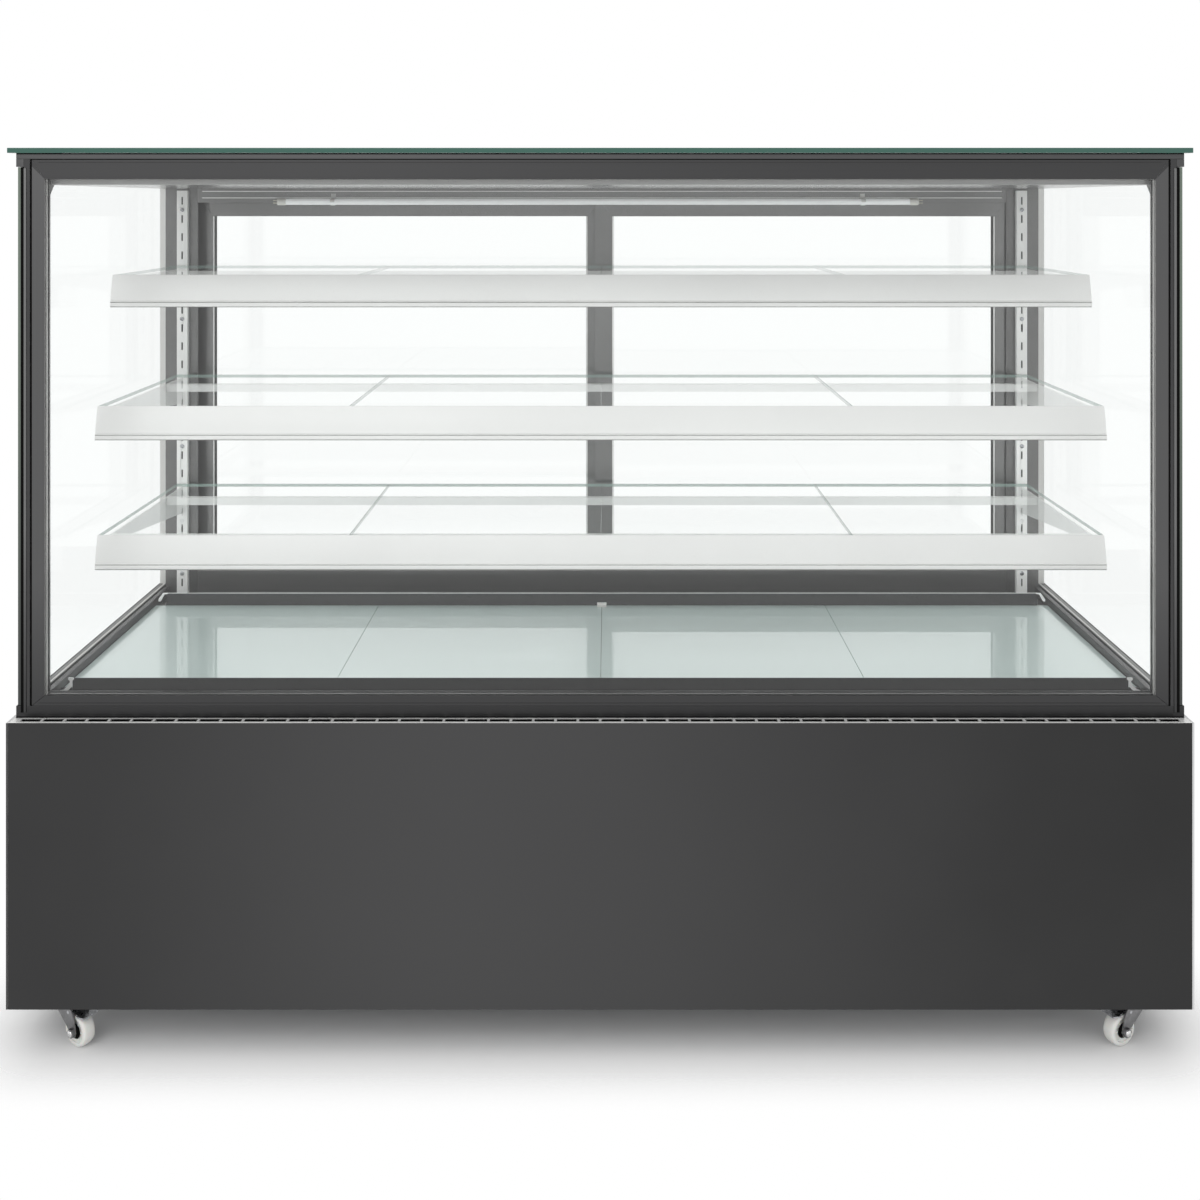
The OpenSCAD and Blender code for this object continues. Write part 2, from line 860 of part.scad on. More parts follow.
// Rear post: a channel that takes the doors' outer edges, and a leg behind the side window
module rear_post_section() {
    x = rear_post_in;
    channel_x = x + door_channel;
    leg_x = x + window_leg;
    lips_y = [rear_face + section_wall, cab_rear - section_wall];
    polygon([[x, rear_face], [leg_x, rear_face], [leg_x, window_rear + 1], [cab_half, window_rear + 1],
             [cab_half, cab_rear], [x, cab_rear], [x, lips_y[1]], [channel_x, lips_y[1]],
             [channel_x, lips_y[0]], [x, lips_y[0]]]);
}

module rear_sill() {
    half = rear_post_in - 0.1;
    w = section_wall;
    color("dimgray")
        across(-half, half)
            difference() {
                union() {
                    rect([rear_face, cab_rear], [rail_z, sill_top_z]);
                    rect([rear_face, rear_face + w], [rail_z, sill_lip_z]);
                    rect([cab_rear - w, cab_rear], [rail_z, sill_lip_z]);
                    for (y = [inner_track, outer_track])
                        rect([y - track_rib[0] / 2, y + track_rib[0] / 2],
                             [sill_top_z - 1, sill_top_z + track_rib[1]]);
                }
                rect([rear_face + w, cab_rear - w], [rail_z + w, sill_top_z - w]);
            }
}

module rear_header() {
    half = rear_post_in - 0.1;
    w = section_wall;
    channel_z = header_z + 20;
    mid = (inner_track + outer_track) / 2;
    color("dimgray")
        across(-half, half)
            difference() {
                rect([rear_face, cab_rear], [header_z, trim_z]);
                rect([rear_face + w, mid - w / 2], [header_z - over, channel_z]);
                rect([mid + w / 2, cab_rear - w], [header_z - over, channel_z]);
                rect([rear_face + w, cab_rear - w], [channel_z + w, trim_z - w]);
            }
}

module top_rails() {
    roof_z = window_z[1] + 0.5;
    front_in = sash_half - 10 - gap;
    post_back = cab_front + post_depth;
    gusset = 20;
    trim_half = cab_half - trim_w;
    ring_z = [trim_z + 0.1, top_glass_z - 0.1];
    color("dimgray") {
        both_sides() {
            difference() {
                fore_aft(post_back + gap, window_rear + 0.8)
                    polygon([[wall_in, ceiling_z], [pane_in - pane_fit, ceiling_z],
                             [pane_in - pane_fit, roof_z], [pane_out + pane_fit, roof_z],
                             [pane_out + pane_fit, roof_z - 5], [cab_half, roof_z - 5],
                             [cab_half, trim_z], [wall_in, trim_z]]);
                rear_post_clearance([ceiling_z - over, trim_z + over]);
            }
            block([sash_half + 12 + gap, cab_half], [cab_front, post_back], [roof_z, trim_z]);
            across(wall_in, pane_in - pane_fit)
                polygon([[post_back + gap, ceiling_z], [post_back + gap, ceiling_z - gusset],
                         [post_back + gap + gusset, ceiling_z]]);
        }
        across(-front_in, front_in)
            rect_ring([cab_front + sash_d + gap, post_back], [ceiling_z, trim_z], section_wall);
        for (side = [0 : 3])
            upright(ring_z[0], ring_z[1])
                mitre_quarter(side, [-cab_half, cab_half], [cab_front, cab_rear],
                              [-trim_half, trim_half], [cab_front + trim_w, cab_rear - trim_w]);
    }
}

module ceiling_panel() {
    half = wall_in - gap;
    roof_half = cab_half - trim_w - gap;
    roof_y = [cab_front + trim_w + gap, cab_rear - trim_w - gap];
    color("gray")
        block([-half, half], [cab_front + post_depth + gap, rear_face - gap],
              [ceiling_z, ceiling_z + thin_sheet]);
    color("black")
        block([-roof_half, roof_half], roof_y, [top_glass_z - thin_sheet - gap, top_glass_z - gap]);
}

module top_glass() {
    half = half_w + top_overhang;
    color("honeydew", 0.6)
        block([-half, half], [cab_front - 7, cab_rear + 5], [top_glass_z, case_h]);
}

// Front window

module front_sash() {
    pocket = 12;
    open_z = [sash_z + sash_bottom_rail, sash_top - sash_top_rail];
    open_x = sash_half - sash_stile;
    color("dimgray")
        for (side = [0 : 3])
            difference() {
                fore_aft(cab_front, cab_front + sash_d)
                    mitre_quarter(side, [-sash_half, sash_half], [sash_z, sash_top],
                                  [-open_x, open_x], open_z);
                block([-open_x - pocket, open_x + pocket], front_glass_depth(0.1),
                      [open_z[0] - pocket, open_z[1] + pocket]);
            }
}

// Depth range of the front double glazing, widened by a margin
function front_glass_depth(margin) = [cab_front + 1.6 - margin, cab_front + 1.6 + 2 * pane_t + 6 + margin];

module front_glass() {
    grip = 11.6;
    half = sash_half - sash_stile + grip;
    z = [sash_z + sash_bottom_rail - grip, sash_top - sash_top_rail + grip];
    depth = front_glass_depth(0);
    color("honeydew", 0.4) {
        block([-half, half], [depth[0], depth[0] + pane_t], z);
        block([-half, half], [depth[1] - pane_t, depth[1]], z);
    }
}

module glass_spacers() {
    grip = 9;
    half = sash_half - sash_stile + grip;
    z = [sash_z + sash_bottom_rail - grip, sash_top - sash_top_rail + grip];
    depth = front_glass_depth(0);
    color("silver") {
        fore_aft(depth[0] + pane_t, depth[1] - pane_t)
            rect_ring([-half, half], z, grip);
        both_sides()
            across(pane_in + pane_t, pane_out - pane_t)
                rect_ring([spacer_lines[0] - spacer_w, spacer_lines[1] + spacer_w],
                          [spacer_lines[2] - spacer_w, spacer_lines[3] + spacer_w], spacer_w);
    }
}

module side_glass() {
    color("honeydew", 0.4)
        both_sides() {
            block([pane_out - pane_t, pane_out], [window_front, window_rear], window_z);
            block([pane_in, pane_in + pane_t], [inner_front, window_rear], window_z);
        }
}

module glass_seals() {
    ring = [spacer_lines[0] - spacer_w, spacer_lines[1] + spacer_w];
    ring_z = [spacer_lines[2] - spacer_w, spacer_lines[3] + spacer_w];
    color("black")
        both_sides() {
            across(pane_in + pane_t, pane_out - pane_t)
                difference() {
                    rect([inner_front, window_rear], window_z);
                    rect(ring, ring_z);
                }
            block([sash_half + 12, pane_out - pane_t], [window_front - 1, inner_front - 1],
                  [sash_z, window_z[1]]);
            block([sash_half, sash_half + 3], [cab_front + 1, cab_front + sash_d], [sash_z, sash_top]);
        }
}

// Lamp

module led_tube() {
    x = [led_x - led_len / 2, led_x + led_len / 2];
    cap = 16;
    c = [led_y, led_z];
    color("white") {
        round_x(c, led_r, x[0] + cap, x[1] - cap);
        round_x(c, led_r + 0.8, x[0], x[0] + cap);
        round_x(c, led_r + 0.8, x[1] - cap, x[1]);
    }
    color("gray")
        for (z = [-2.5, 2.5]) {
            round_x([led_y, led_z + z], 1.1, x[0] - 9, x[0] + 1);
            round_x([led_y, led_z + z], 1.1, x[1] - 1, x[1] + 9);
        }
}

module led_clips() {
    clip_w = 9;
    clip_r = [led_r + 0.2, led_r + 1.4];
    color("whitesmoke")
        for (x = [led_x - clip_spread, led_x + clip_spread])
            difference() {
                union() {
                    clip_x = [x - clip_w / 2, x + clip_w / 2];
                    round_x([led_y, led_z], clip_r[1], clip_x[0], clip_x[1]);
                    block(clip_x, [led_y, rear_face - 0.1], [led_z - 3, led_z + 3]);
                    block(clip_x, [rear_face - 1.4, rear_face - 0.1], [led_z, led_z + 16]);
                }
                round_x([led_y, led_z], clip_r[0], x - clip_w, x + clip_w);
                translate([x, led_y - 6, led_z - 6])
                    rotate([45, 0, 0])
                        cube([2 * clip_w, 9, 9], center = true);
            }
}

// Shelves

module shelf_standards() {
    x = [standard_half - standard_w, standard_half];
    y = [rear_face - standard_d, rear_face - 0.1];
    color("whitesmoke")
        both_sides()
            difference() {
                upright(standard_z[0], standard_z[1])
                    difference() {
                        rect(x, y);
                        rect([x[0] + sheet, x[1] - sheet], [y[0] + sheet, y[1] + over]);
                    }
                for (i = [0 : slot_count - 1])
                    translate([slot_x, y[0], slot_base + i * slot_pitch])
                        cube([slot_size[0], 4 * sheet, slot_size[1]], center = true);
                for (k = standard_screw_slots)
                    round_y([slot_x, standard_screw_z(k)], screw_hole_r, y[0] - over, y[0] + 3 * sheet);
            }
}

// Depth of a shelf by its level, 0 at the bottom
function shelf_depth(level) = level == 2 ? top_shelf_d : shelf_d;
function shelf_front(level) = shelf_rear - shelf_depth(level);
function shelf_level_z(level) = shelf_z + level * shelf_pitch;

module shelf_frames() {
    color("whitesmoke")
        for (level = [0 : 2]) {
            z = shelf_level_z(level) - shelf_t - 0.1;
            both_sides()
                shelf_arm(shelf_front(level), z);
            for (y = [bar_y, shelf_front(level) + 30])
                across(-slot_x + arm_t / 2 + gap, slot_x - arm_t / 2 - gap)
                    rect_ring([y - bar_size[0] / 2, y + bar_size[0] / 2], [z - bar_size[1], z], thin_sheet);
        }
}

// Tapered arm whose two hooks drop behind the standard's web
module shelf_arm(front, z) {
    rear = rear_face - standard_d - 0.4;
    web_back = rear_face - standard_d + sheet + 0.3;
    across(slot_x - arm_t / 2, slot_x + arm_t / 2) {
        polygon([[front + 8, z], [front + 8, z - arm_front_h], [front + 40, z - arm_front_h],
                 [rear, z - arm_rear_h], [rear, z]]);
        for (drop = [10, 10 + slot_pitch]) {
            rect([rear - over, web_back + 4], [z - drop + 0.1 - hook_h, z - drop + 0.1 + hook_h]);
            rect([web_back, web_back + 4], [z - drop - hook_h - 5, z - drop + hook_h]);
        }
    }
}

// Row of equal panes between two depths, with the top face at z
module pane_row(half, y, z) {
    pitch = 2 * half / pane_count;
    joint = 0.5;
    for (i = [0 : pane_count - 1])
        block([-half + i * pitch + joint / 2, -half + (i + 1) * pitch - joint / 2], y, [z - shelf_t, z]);
}

module shelf_glass() {
    color("honeydew", 0.4)
        for (level = [0 : 2])
            pane_row(shelf_half, [shelf_front(level) + 2.5, shelf_rear], shelf_level_z(level));
}

module ticket_strips() {
    color("whitesmoke")
        for (level = [0 : 2])
            translate([0, shelf_front(level), shelf_level_z(level)])
                across(-shelf_half, shelf_half)
                    ticket_strip_section();
}

// Forward reach of the strip's bowed face at a drop below its top
function strip_face(drop) = -strip_lean * sin(90 * drop / strip_h);

// Bowed face with a rib at its foot and a leg under the shelf glass
module ticket_strip_section() {
    steps = 12;
    leg = 7;
    under = shelf_t + 0.4;
    rib_top = strip_h - strip_rib[1];
    web = rib_top - under - strip_t;
    face = [for (k = [0 : steps]) [strip_face(strip_h * k / steps), -strip_h * k / steps]];
    rib = [[strip_face(strip_h) + strip_rib[0], -strip_h], [strip_face(rib_top) + strip_rib[0], -rib_top]];
    back = [for (k = [0 : steps])
        [strip_face(rib_top - web * k / steps) + strip_t, web * k / steps - rib_top]];
    hook = [[leg, -under - strip_t], [leg, -under], [strip_t, -under], [strip_t, 0]];
    polygon(concat(face, rib, back, hook));
}

// Deck

module deck_glass() {
    color("lightcyan", 0.6)
        pane_row(wall_in - 1, [deck_y[0], deck_y[1]], deck_z);
}

module deck_tray() {
    z = [tub_rim - liner_t - 0.3, tub_rim - 0.2];
    half = tub_half - tub_wall - 0.6;
    lip_x = [-deck_lip_half, deck_lip_half];
    lip_foot = z[0] - 14;
    color("dimgray") {
        block([-half, half], [deck_y[0] + gap, deck_y[1] - gap], z);
        block(lip_x, [deck_y[0] - lip_t, deck_y[0] - 0.05], [lip_foot, front_lip_z]);
        block(lip_x, [deck_y[1] + 0.05, deck_y[1] + lip_t], [lip_foot, rear_lip_z]);
    }
}

// Doors

// Door frame with a pocket for its glass and a groove over the track's rib
module door_frame(x, track_y, pull_x) {
    y = [track_y - door_t / 2, track_y + door_t / 2];
    open_x = [x[0] + door_stile, x[1] - door_stile];
    pocket_y = door_pane_offset + door_pane_t / 2 + 0.1;
    pull_z = (door_glass_z[0] + door_glass_z[1]) / 2;
    pocket_x = [open_x[0] - glass_grip, open_x[1] + glass_grip];
    pocket_z = [door_glass_z[0] - glass_grip, door_glass_z[1] + glass_grip];
    groove_z = [door_z[0] - over, door_z[0] + 8.5];
    color("dimgray") {
        for (side = [0 : 3])
            difference() {
                fore_aft(y[0], y[1])
                    mitre_quarter(side, x, door_z, open_x, door_glass_z);
                block(pocket_x, [track_y - pocket_y, track_y + pocket_y], pocket_z);
                block([x[0] - over, x[1] + over], [track_y - 3, track_y + 3], groove_z);
                block([pull_x - 9, pull_x + 9], [y[1] - 6, y[1] + over], [pull_z - 70, pull_z + 70]);
            }
        door_pull(pull_x, y[1], pull_z);
    }
}

// Flush cup in the stile: a thin tray with a raised finger edge
module door_pull(x, y, z) {
    cup = 8.8;
    cup_h = 69.8;
    rim = 1.5;
    difference() {
        block([x - cup, x + cup], [y - 5.8, y + 1.5], [z - cup_h, z + cup_h]);
        block([x - cup + rim, x + cup - rim], [y - 4.6, y + 2.5], [z - cup_h + rim, z + cup_h - rim]);
    }
}

module door_panes(x, track_y) {
    fit = glass_grip - 0.4;
    px = [x[0] + door_stile - fit, x[1] - door_stile + fit];
    pz = [door_glass_z[0] - fit, door_glass_z[1] + fit];
    color("honeydew", 0.4)
        for (side = [-1, 1])
            block(px, [track_y + side * door_pane_offset - door_pane_t / 2,
                       track_y + side * door_pane_offset + door_pane_t / 2], pz);
}

module door_left_frame() {
    door_frame(left_door_x, outer_track, left_door_x[0] + door_stile * 0.55);
}

module door_left_glass() {
    door_panes(left_door_x, outer_track);
}

module door_right_frame() {
    door_frame(right_door_x, inner_track, right_door_x[1] - door_stile * 0.55);
}

module door_right_glass() {
    door_panes(right_door_x, inner_track);
}

// Casters: each is drawn with its swivel axis on Z and its wheel trailing along +X

module placed_caster(side, row, yaw) {
    translate([side * caster_x, caster_y[row], 0])
        rotate([0, 0, yaw])
            children();
}

module caster_plates() {
    plate = 60;
    color("silver")
        for (side = [-1, 1], row = [0, 1])
            translate([side * caster_x, caster_y[row], 0]) {
                translate([0, 0, base_z - 2.95])
                    linear_extrude(2.9)
                        square([plate, plate], center = true);
                translate([0, 0, crown_z + 7.3]) cylinder(r = 20, h = base_z - 2.9 - crown_z - 7.3);
                translate([0, 0, crown_z - 3.5]) cylinder(r = 9, h = 3.2);
                translate([0, 0, crown_z - 3]) cylinder(r = kingpin_r, h = 11);
                for (x = [-1, 1], y = [-1, 1])
                    translate([x * 23, y * 23, base_z - 7])
                        cylinder(r = 6, h = 4.1, $fn = 6);
            }
}

// Fork with its lower race, two legs, the axle bolt and its nut
module caster_fork() {
    color("silver") {
        difference() {
            union() {
                translate([0, 0, crown_z]) cylinder(r = 21, h = 2.5);
                translate([0, 0, crown_z + 2.4]) cylinder(r = 17, h = 4.6);
                translate([0, 0, crown_z + 1.25]) cube([24, 2 * fork_in + 2 * fork_t, 2.5], center = true);
                for (y = [-fork_in - fork_t, fork_in])
                    fore_aft(y, y + fork_t)
                        fork_leg_section();
            }
            translate([0, 0, crown_z - over]) cylinder(r = kingpin_r + running_gap, h = 12);
            round_y(pedal_pivot, pedal_pin_r + running_gap, -20, 20);
        }
        round_y([caster_trail, wheel_r], axle_r, -fork_in, fork_in);
        for (side = [-1, 1])
            translate([caster_trail, side * (fork_in + fork_t), wheel_r])
                rotate([-90 * side, 0, 0])
                    cylinder(r = 7.2, h = 4, $fn = 6);
    }
}

module fork_leg_section() {
    foot_z = wheel_r - 6.5;
    polygon([[-12, crown_z + 2.5], [21, crown_z + 2.5], [26, crown_z - 6], [caster_trail + 8, wheel_r],
             [caster_trail + 5, foot_z], [caster_trail - 5, foot_z], [caster_trail - 8, wheel_r + 2],
             [-12, crown_z - 5]]);
}

// Solid wheel with a crowned edge, a recessed web and a bored hub
module caster_wheel() {
    half = wheel_w / 2;
    hub = [8.5, fork_in - 0.4];
    web = [17.5, half - 2.5];
    outer_half = [[axle_r + running_gap, hub[1]], hub, [hub[0], web[1]], web, [web[0] + 1, half],
                  [wheel_r - 3.5, half], [wheel_r - 1, half - 1], [wheel_r, half - 3.5]];
    inner_half = [for (i = [len(outer_half) - 1 : -1 : 0]) [outer_half[i][0], -outer_half[i][1]]];
    color("whitesmoke")
        translate([caster_trail, 0, wheel_r])
            rotate([90, 0, 0])
                rotate_extrude()
                    polygon(concat(outer_half, inner_half));
}

// Pedal on its cross pin, pressed down over the wheel
module brake_pedal() {
    color("dimgray")
        translate([pedal_pivot[0], 0, pedal_pivot[1]])
            rotate([0, pedal_pressed, 0]) {
                round_y([0, 0], pedal_pin_r, -fork_in - fork_t, fork_in + fork_t);
                block([0, 20], [-fork_in + 1.5, fork_in - 1.5], [-1, 1.4]);
                fore_aft(-fork_in - 1, fork_in + 1)
                    polygon([[19, -1], [22, -1], [36, 4], [36, 6.4], [21, 1.4], [19, 1.4]]);
            }
}

module caster_fork_front_left() {
    placed_caster(-1, 0, front_yaw[0]) caster_fork();
}

module caster_fork_front_right() {
    placed_caster(1, 0, front_yaw[1]) caster_fork();
}

module caster_fork_rear_left() {
    placed_caster(-1, 1, rear_yaw[0]) caster_fork();
}

module caster_fork_rear_right() {
    placed_caster(1, 1, rear_yaw[1]) caster_fork();
}

module caster_wheel_front_left() {
    placed_caster(-1, 0, front_yaw[0]) caster_wheel();
}

module caster_wheel_front_right() {
    placed_caster(1, 0, front_yaw[1]) caster_wheel();
}

module caster_wheel_rear_left() {
    placed_caster(-1, 1, rear_yaw[0]) caster_wheel();
}

module caster_wheel_rear_right() {
    placed_caster(1, 1, rear_yaw[1]) caster_wheel();
}

module brake_pedal_left() {
    placed_caster(-1, 0, front_yaw[0]) brake_pedal();
}

module brake_pedal_right() {
    placed_caster(1, 0, front_yaw[1]) brake_pedal();
}

base_frame();
base_pan();
front_panel();
side_panels();
ledge_grille();
rear_cover();
rear_grille();
tub_liner();
tub_foam();
evaporator_coil();
evaporator_fan_housings();
evaporator_fan_left();
evaporator_fan_right();
condenser_coil();
condenser_fan_mount();
condenser_fan();
compressor();
refrigerant_pipes();
condensate_pan();
electrical_box();
control_panel();
power_switch();
light_switch();
cable_gland();
fasteners();
plinth_rails();
corner_posts();
rear_sill();
top_rails();
rear_header();
ceiling_panel();
top_glass();
front_sash();
front_glass();
glass_spacers();
side_glass();
glass_seals();
led_tube();
led_clips();
shelf_standards();
shelf_frames();
shelf_glass();
ticket_strips();
deck_glass();
deck_tray();
door_left_frame();
door_left_glass();
door_right_frame();
door_right_glass();
caster_plates();
caster_fork_front_left();
caster_fork_front_right();
caster_fork_rear_left();
caster_fork_rear_right();
caster_wheel_front_left();
caster_wheel_front_right();
caster_wheel_rear_left();
caster_wheel_rear_right();
brake_pedal_left();
brake_pedal_right();
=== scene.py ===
"""Refrigerated deli case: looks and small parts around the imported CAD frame. Sizes are metres."""
import json
import math

import bmesh
import bpy
from mathutils import Matrix, Vector

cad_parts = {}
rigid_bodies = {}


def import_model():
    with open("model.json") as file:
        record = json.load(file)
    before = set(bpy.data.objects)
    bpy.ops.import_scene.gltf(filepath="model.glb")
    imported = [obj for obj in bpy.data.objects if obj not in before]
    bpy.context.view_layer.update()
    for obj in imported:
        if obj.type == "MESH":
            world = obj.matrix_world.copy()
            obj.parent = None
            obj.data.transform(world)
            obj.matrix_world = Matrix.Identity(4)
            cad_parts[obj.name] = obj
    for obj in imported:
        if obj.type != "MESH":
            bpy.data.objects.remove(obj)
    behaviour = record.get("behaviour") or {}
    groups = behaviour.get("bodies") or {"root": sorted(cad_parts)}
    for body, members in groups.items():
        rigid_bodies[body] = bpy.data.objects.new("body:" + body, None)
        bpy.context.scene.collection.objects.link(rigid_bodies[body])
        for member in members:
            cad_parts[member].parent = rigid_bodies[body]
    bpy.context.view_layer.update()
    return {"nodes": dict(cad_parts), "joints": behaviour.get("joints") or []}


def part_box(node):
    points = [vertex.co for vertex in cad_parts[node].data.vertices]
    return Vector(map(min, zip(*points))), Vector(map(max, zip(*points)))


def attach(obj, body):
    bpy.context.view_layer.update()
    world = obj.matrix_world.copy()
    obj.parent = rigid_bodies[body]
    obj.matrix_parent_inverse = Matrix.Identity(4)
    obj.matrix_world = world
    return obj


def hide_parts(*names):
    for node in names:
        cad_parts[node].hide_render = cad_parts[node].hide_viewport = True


for leftover in list(bpy.data.objects):
    bpy.data.objects.remove(leftover)
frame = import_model()

MM = 0.001
REBATE = 7.6 * MM  # how far the doors' glass reaches into their frames
LIP_HALF = 0.84  # half the length of the deck's air lips
CLEAR = (0.997, 0.9995, 0.9985, 1.0)  # tint of the clear panes
SHELVES = ((-148, 740), (-148, 956), (-78, 1172))  # front edge and top of each shelf, in mm
UPRIGHT = Matrix.Rotation(math.radians(-90), 4, "X")  # lays a turned piece's Z along Y
JOINTS = {joint["name"]: joint for joint in frame["joints"]}
CORNERS = ("front_left", "front_right", "rear_left", "rear_right")


# ---------------------------------------------------------------- camera, floor and light

def make_camera():
    """Level camera at standing height, with its lens shifted down on to the case."""
    data = bpy.data.cameras.new("camera")
    data.lens = 41.07
    data.sensor_width = 36.0
    data.shift_x = -0.0067
    data.shift_y = -0.331
    data.clip_start = 0.05
    data.clip_end = 200.0
    camera = bpy.data.objects.new("camera", data)
    camera.location = (0.012, -2.438, 1.296)
    camera.rotation_euler = (math.radians(90), 0, 0)
    bpy.context.scene.collection.objects.link(camera)
    bpy.context.scene.camera = camera


def area_light(name, place, target, size, power):
    """Rectangular soft light that faces the target and isn't seen itself."""
    data = bpy.data.lights.new(name, "AREA")
    data.shape = "RECTANGLE"
    data.size, data.size_y = size
    data.energy = power
    light = bpy.data.objects.new(name, data)
    light.location = place
    light.rotation_euler = (Vector(target) - Vector(place)).to_track_quat("-Z", "Y").to_euler()
    light.visible_camera = False
    bpy.context.scene.collection.objects.link(light)


def make_world():
    """Even white surroundings, which are also the soft light."""
    world = bpy.data.worlds.new("studio")
    bpy.context.scene.world = world
    world.use_nodes = True
    background = world.node_tree.nodes["Background"]
    background.inputs["Color"].default_value = (1, 1, 1, 1)
    background.inputs["Strength"].default_value = 1.0
    bpy.context.scene.view_settings.view_transform = "Standard"


def make_floor():
    """Large disc, grey round the case as a painted shadow, that fades into the white surroundings."""
    radius, rings, spokes = 14.0, 24, 96
    mesh = bmesh.new()
    centre = mesh.verts.new((0, 0, 0))
    last = []
    for ring in range(1, rings + 1):
        r = radius * (ring / rings) ** 1.6
        angles = [2 * math.pi * k / spokes for k in range(spokes)]
        now = [mesh.verts.new((r * math.cos(a), r * math.sin(a), 0)) for a in angles]
        for k in range(spokes):
            after = (k + 1) % spokes
            inner = [last[k], now[k], now[after], last[after]] if last else [centre, now[k], now[after]]
            mesh.faces.new(inner)
        last = now
    data = bpy.data.meshes.new("floor")
    mesh.to_mesh(data)
    mesh.free()
    floor = bpy.data.objects.new("floor", data)
    bpy.context.scene.collection.objects.link(floor)
    data.materials.append(floor_material())


# ---------------------------------------------------------------- node helpers

def new_material(name):
    """Empty node material, with its tree and its output node."""
    material = bpy.data.materials.new(name)
    material.use_nodes = True
    tree = material.node_tree
    tree.nodes.clear()
    return material, tree, tree.nodes.new("ShaderNodeOutputMaterial")


def add(tree, kind, inputs=None, **settings):
    """New node with its settings and its input values or links."""
    node = tree.nodes.new("ShaderNode" + kind)
    for key, value in settings.items():
        setattr(node, key, value)
    for key, value in (inputs or {}).items():
        if isinstance(value, bpy.types.NodeSocket):
            tree.links.new(value, node.inputs[key])
        else:
            node.inputs[key].default_value = value
    return node


def rgba(colour):
    return (*colour, 1.0) if len(colour) == 3 else colour


def times(colour, factor):
    """Colour times a factor, at most white."""
    return tuple(min(1.0, c * factor) for c in colour)


def place_scaled(tree, scale=(1, 1, 1)):
    """Object coordinates stretched by a scale along each axis."""
    coords = add(tree, "TexCoord")
    return add(tree, "Mapping", {"Vector": coords.outputs["Object"], "Scale": scale}).outputs[0]


def noise(tree, place, scale, detail=3.0, roughness=0.5):
    return add(tree, "TexNoise", {"Vector": place, "Scale": scale, "Detail": detail,
                                  "Roughness": roughness}).outputs["Fac"]


def ramp(tree, value, low, high, start=0.0, end=1.0):
    """Maps start to end on to low to high."""
    return add(tree, "MapRange", {"Value": value, "From Min": start, "From Max": end,
                                  "To Min": low, "To Max": high}).outputs[0]


def spread_out(tree, value, low=0, high=1):
    """Stretches the range that most of a noise's values lie in over low to high."""
    return ramp(tree, value, low, high, 0.3, 0.7)


def along(tree, axis, source="Object"):
    """One coordinate of the surface's place or, from the source "Normal", of its normal."""
    return add(tree, "SeparateXYZ", {0: add(tree, "TexCoord").outputs[source]}).outputs[axis]


def maths(tree, operation, first, second=0.0):
    return add(tree, "Math", {0: first, 1: second}, operation=operation).outputs[0]


def blend_colours(tree, value, low, high):
    """Colour between two, by a value from 0 to 1."""
    node = add(tree, "Mix", data_type="RGBA")
    ends = [s for s in node.inputs if s.type == "RGBA"]
    for socket, colour in zip(ends, (low, high)):
        if isinstance(colour, bpy.types.NodeSocket):
            tree.links.new(colour, socket)
        else:
            socket.default_value = rgba(colour)
    tree.links.new(value, node.inputs["Factor"])
    return [s for s in node.outputs if s.type == "RGBA"][0]


def size_of(tree, value, middle=0.0):
    """Distance of a value from the middle."""
    return maths(tree, "ABSOLUTE", maths(tree, "SUBTRACT", value, middle) if middle else value)


def on_rim(tree, axis):
    """1 on the edges of a flat pane, whose faces look along axis."""
    return maths(tree, "LESS_THAN", size_of(tree, along(tree, axis, "Normal")), 0.75)


def bump(tree, height, strength, distance):
    return add(tree, "Bump", {"Height": height, "Strength": strength, "Distance": distance}).outputs[0]


def principled(tree, out, **sockets):
    """Principled shader wired to the output. Socket names are written with underscores. A value may
    be a number, a colour or a link."""
    inputs = {}
    for key, value in sockets.items():
        name = key.replace("_", " ").title().replace("Ior", "IOR")
        inputs[name] = rgba(value) if isinstance(value, tuple) else value
    shader = add(tree, "BsdfPrincipled", inputs)
    tree.links.new(shader.outputs[0], out.inputs["Surface"])


# ---------------------------------------------------------------- materials

def floor_material():
    """Pale grey floor round the footprint, painted darker than the surroundings as a shadow under the
    case, which gives way to the white surroundings further out.
    """
    material, tree, out = new_material("floor_painted_shadow")
    footprint, fade_start, fade_end = (0.82, 0.27, 0), 0.02, 0.22
    place = add(tree, "VectorMath", {0: place_scaled(tree)}, operation="ABSOLUTE").outputs[0]
    beyond = add(tree, "VectorMath", {0: place, 1: footprint}, operation="SUBTRACT").outputs[0]
    outside = add(tree, "VectorMath", {0: beyond, 1: (0, 0, 0)}, operation="MAXIMUM").outputs[0]
    distance = add(tree, "VectorMath", {0: outside}, operation="LENGTH").outputs["Value"]
    fade = add(tree, "MapRange", {"Value": distance, "From Min": fade_start, "From Max": fade_end},
               interpolation_type="SMOOTHSTEP").outputs[0]
    # painted shadow: the floor's own grey, strongest round the footprint
    paint = add(tree, "BsdfDiffuse", {"Color": rgba((0.64, 0.64, 0.64))})
    clear = add(tree, "BsdfTransparent")
    mix = add(tree, "MixShader", {0: fade, 1: paint.outputs[0], 2: clear.outputs[0]})
    tree.links.new(mix.outputs[0], out.inputs["Surface"])
    return material


def upright_mask(tree, centre_x, half_open, open_z):
    """1 on the uprights of a mitred frame and 0 on its rails, split along the mitres."""
    height = along(tree, "Z")
    outwards = maths(tree, "SUBTRACT", size_of(tree, along(tree, "X"), centre_x), half_open)
    below = maths(tree, "SUBTRACT", open_z[0], height)
    above = maths(tree, "SUBTRACT", height, open_z[1])
    return maths(tree, "GREATER_THAN", outwards, maths(tree, "MAXIMUM", below, above))


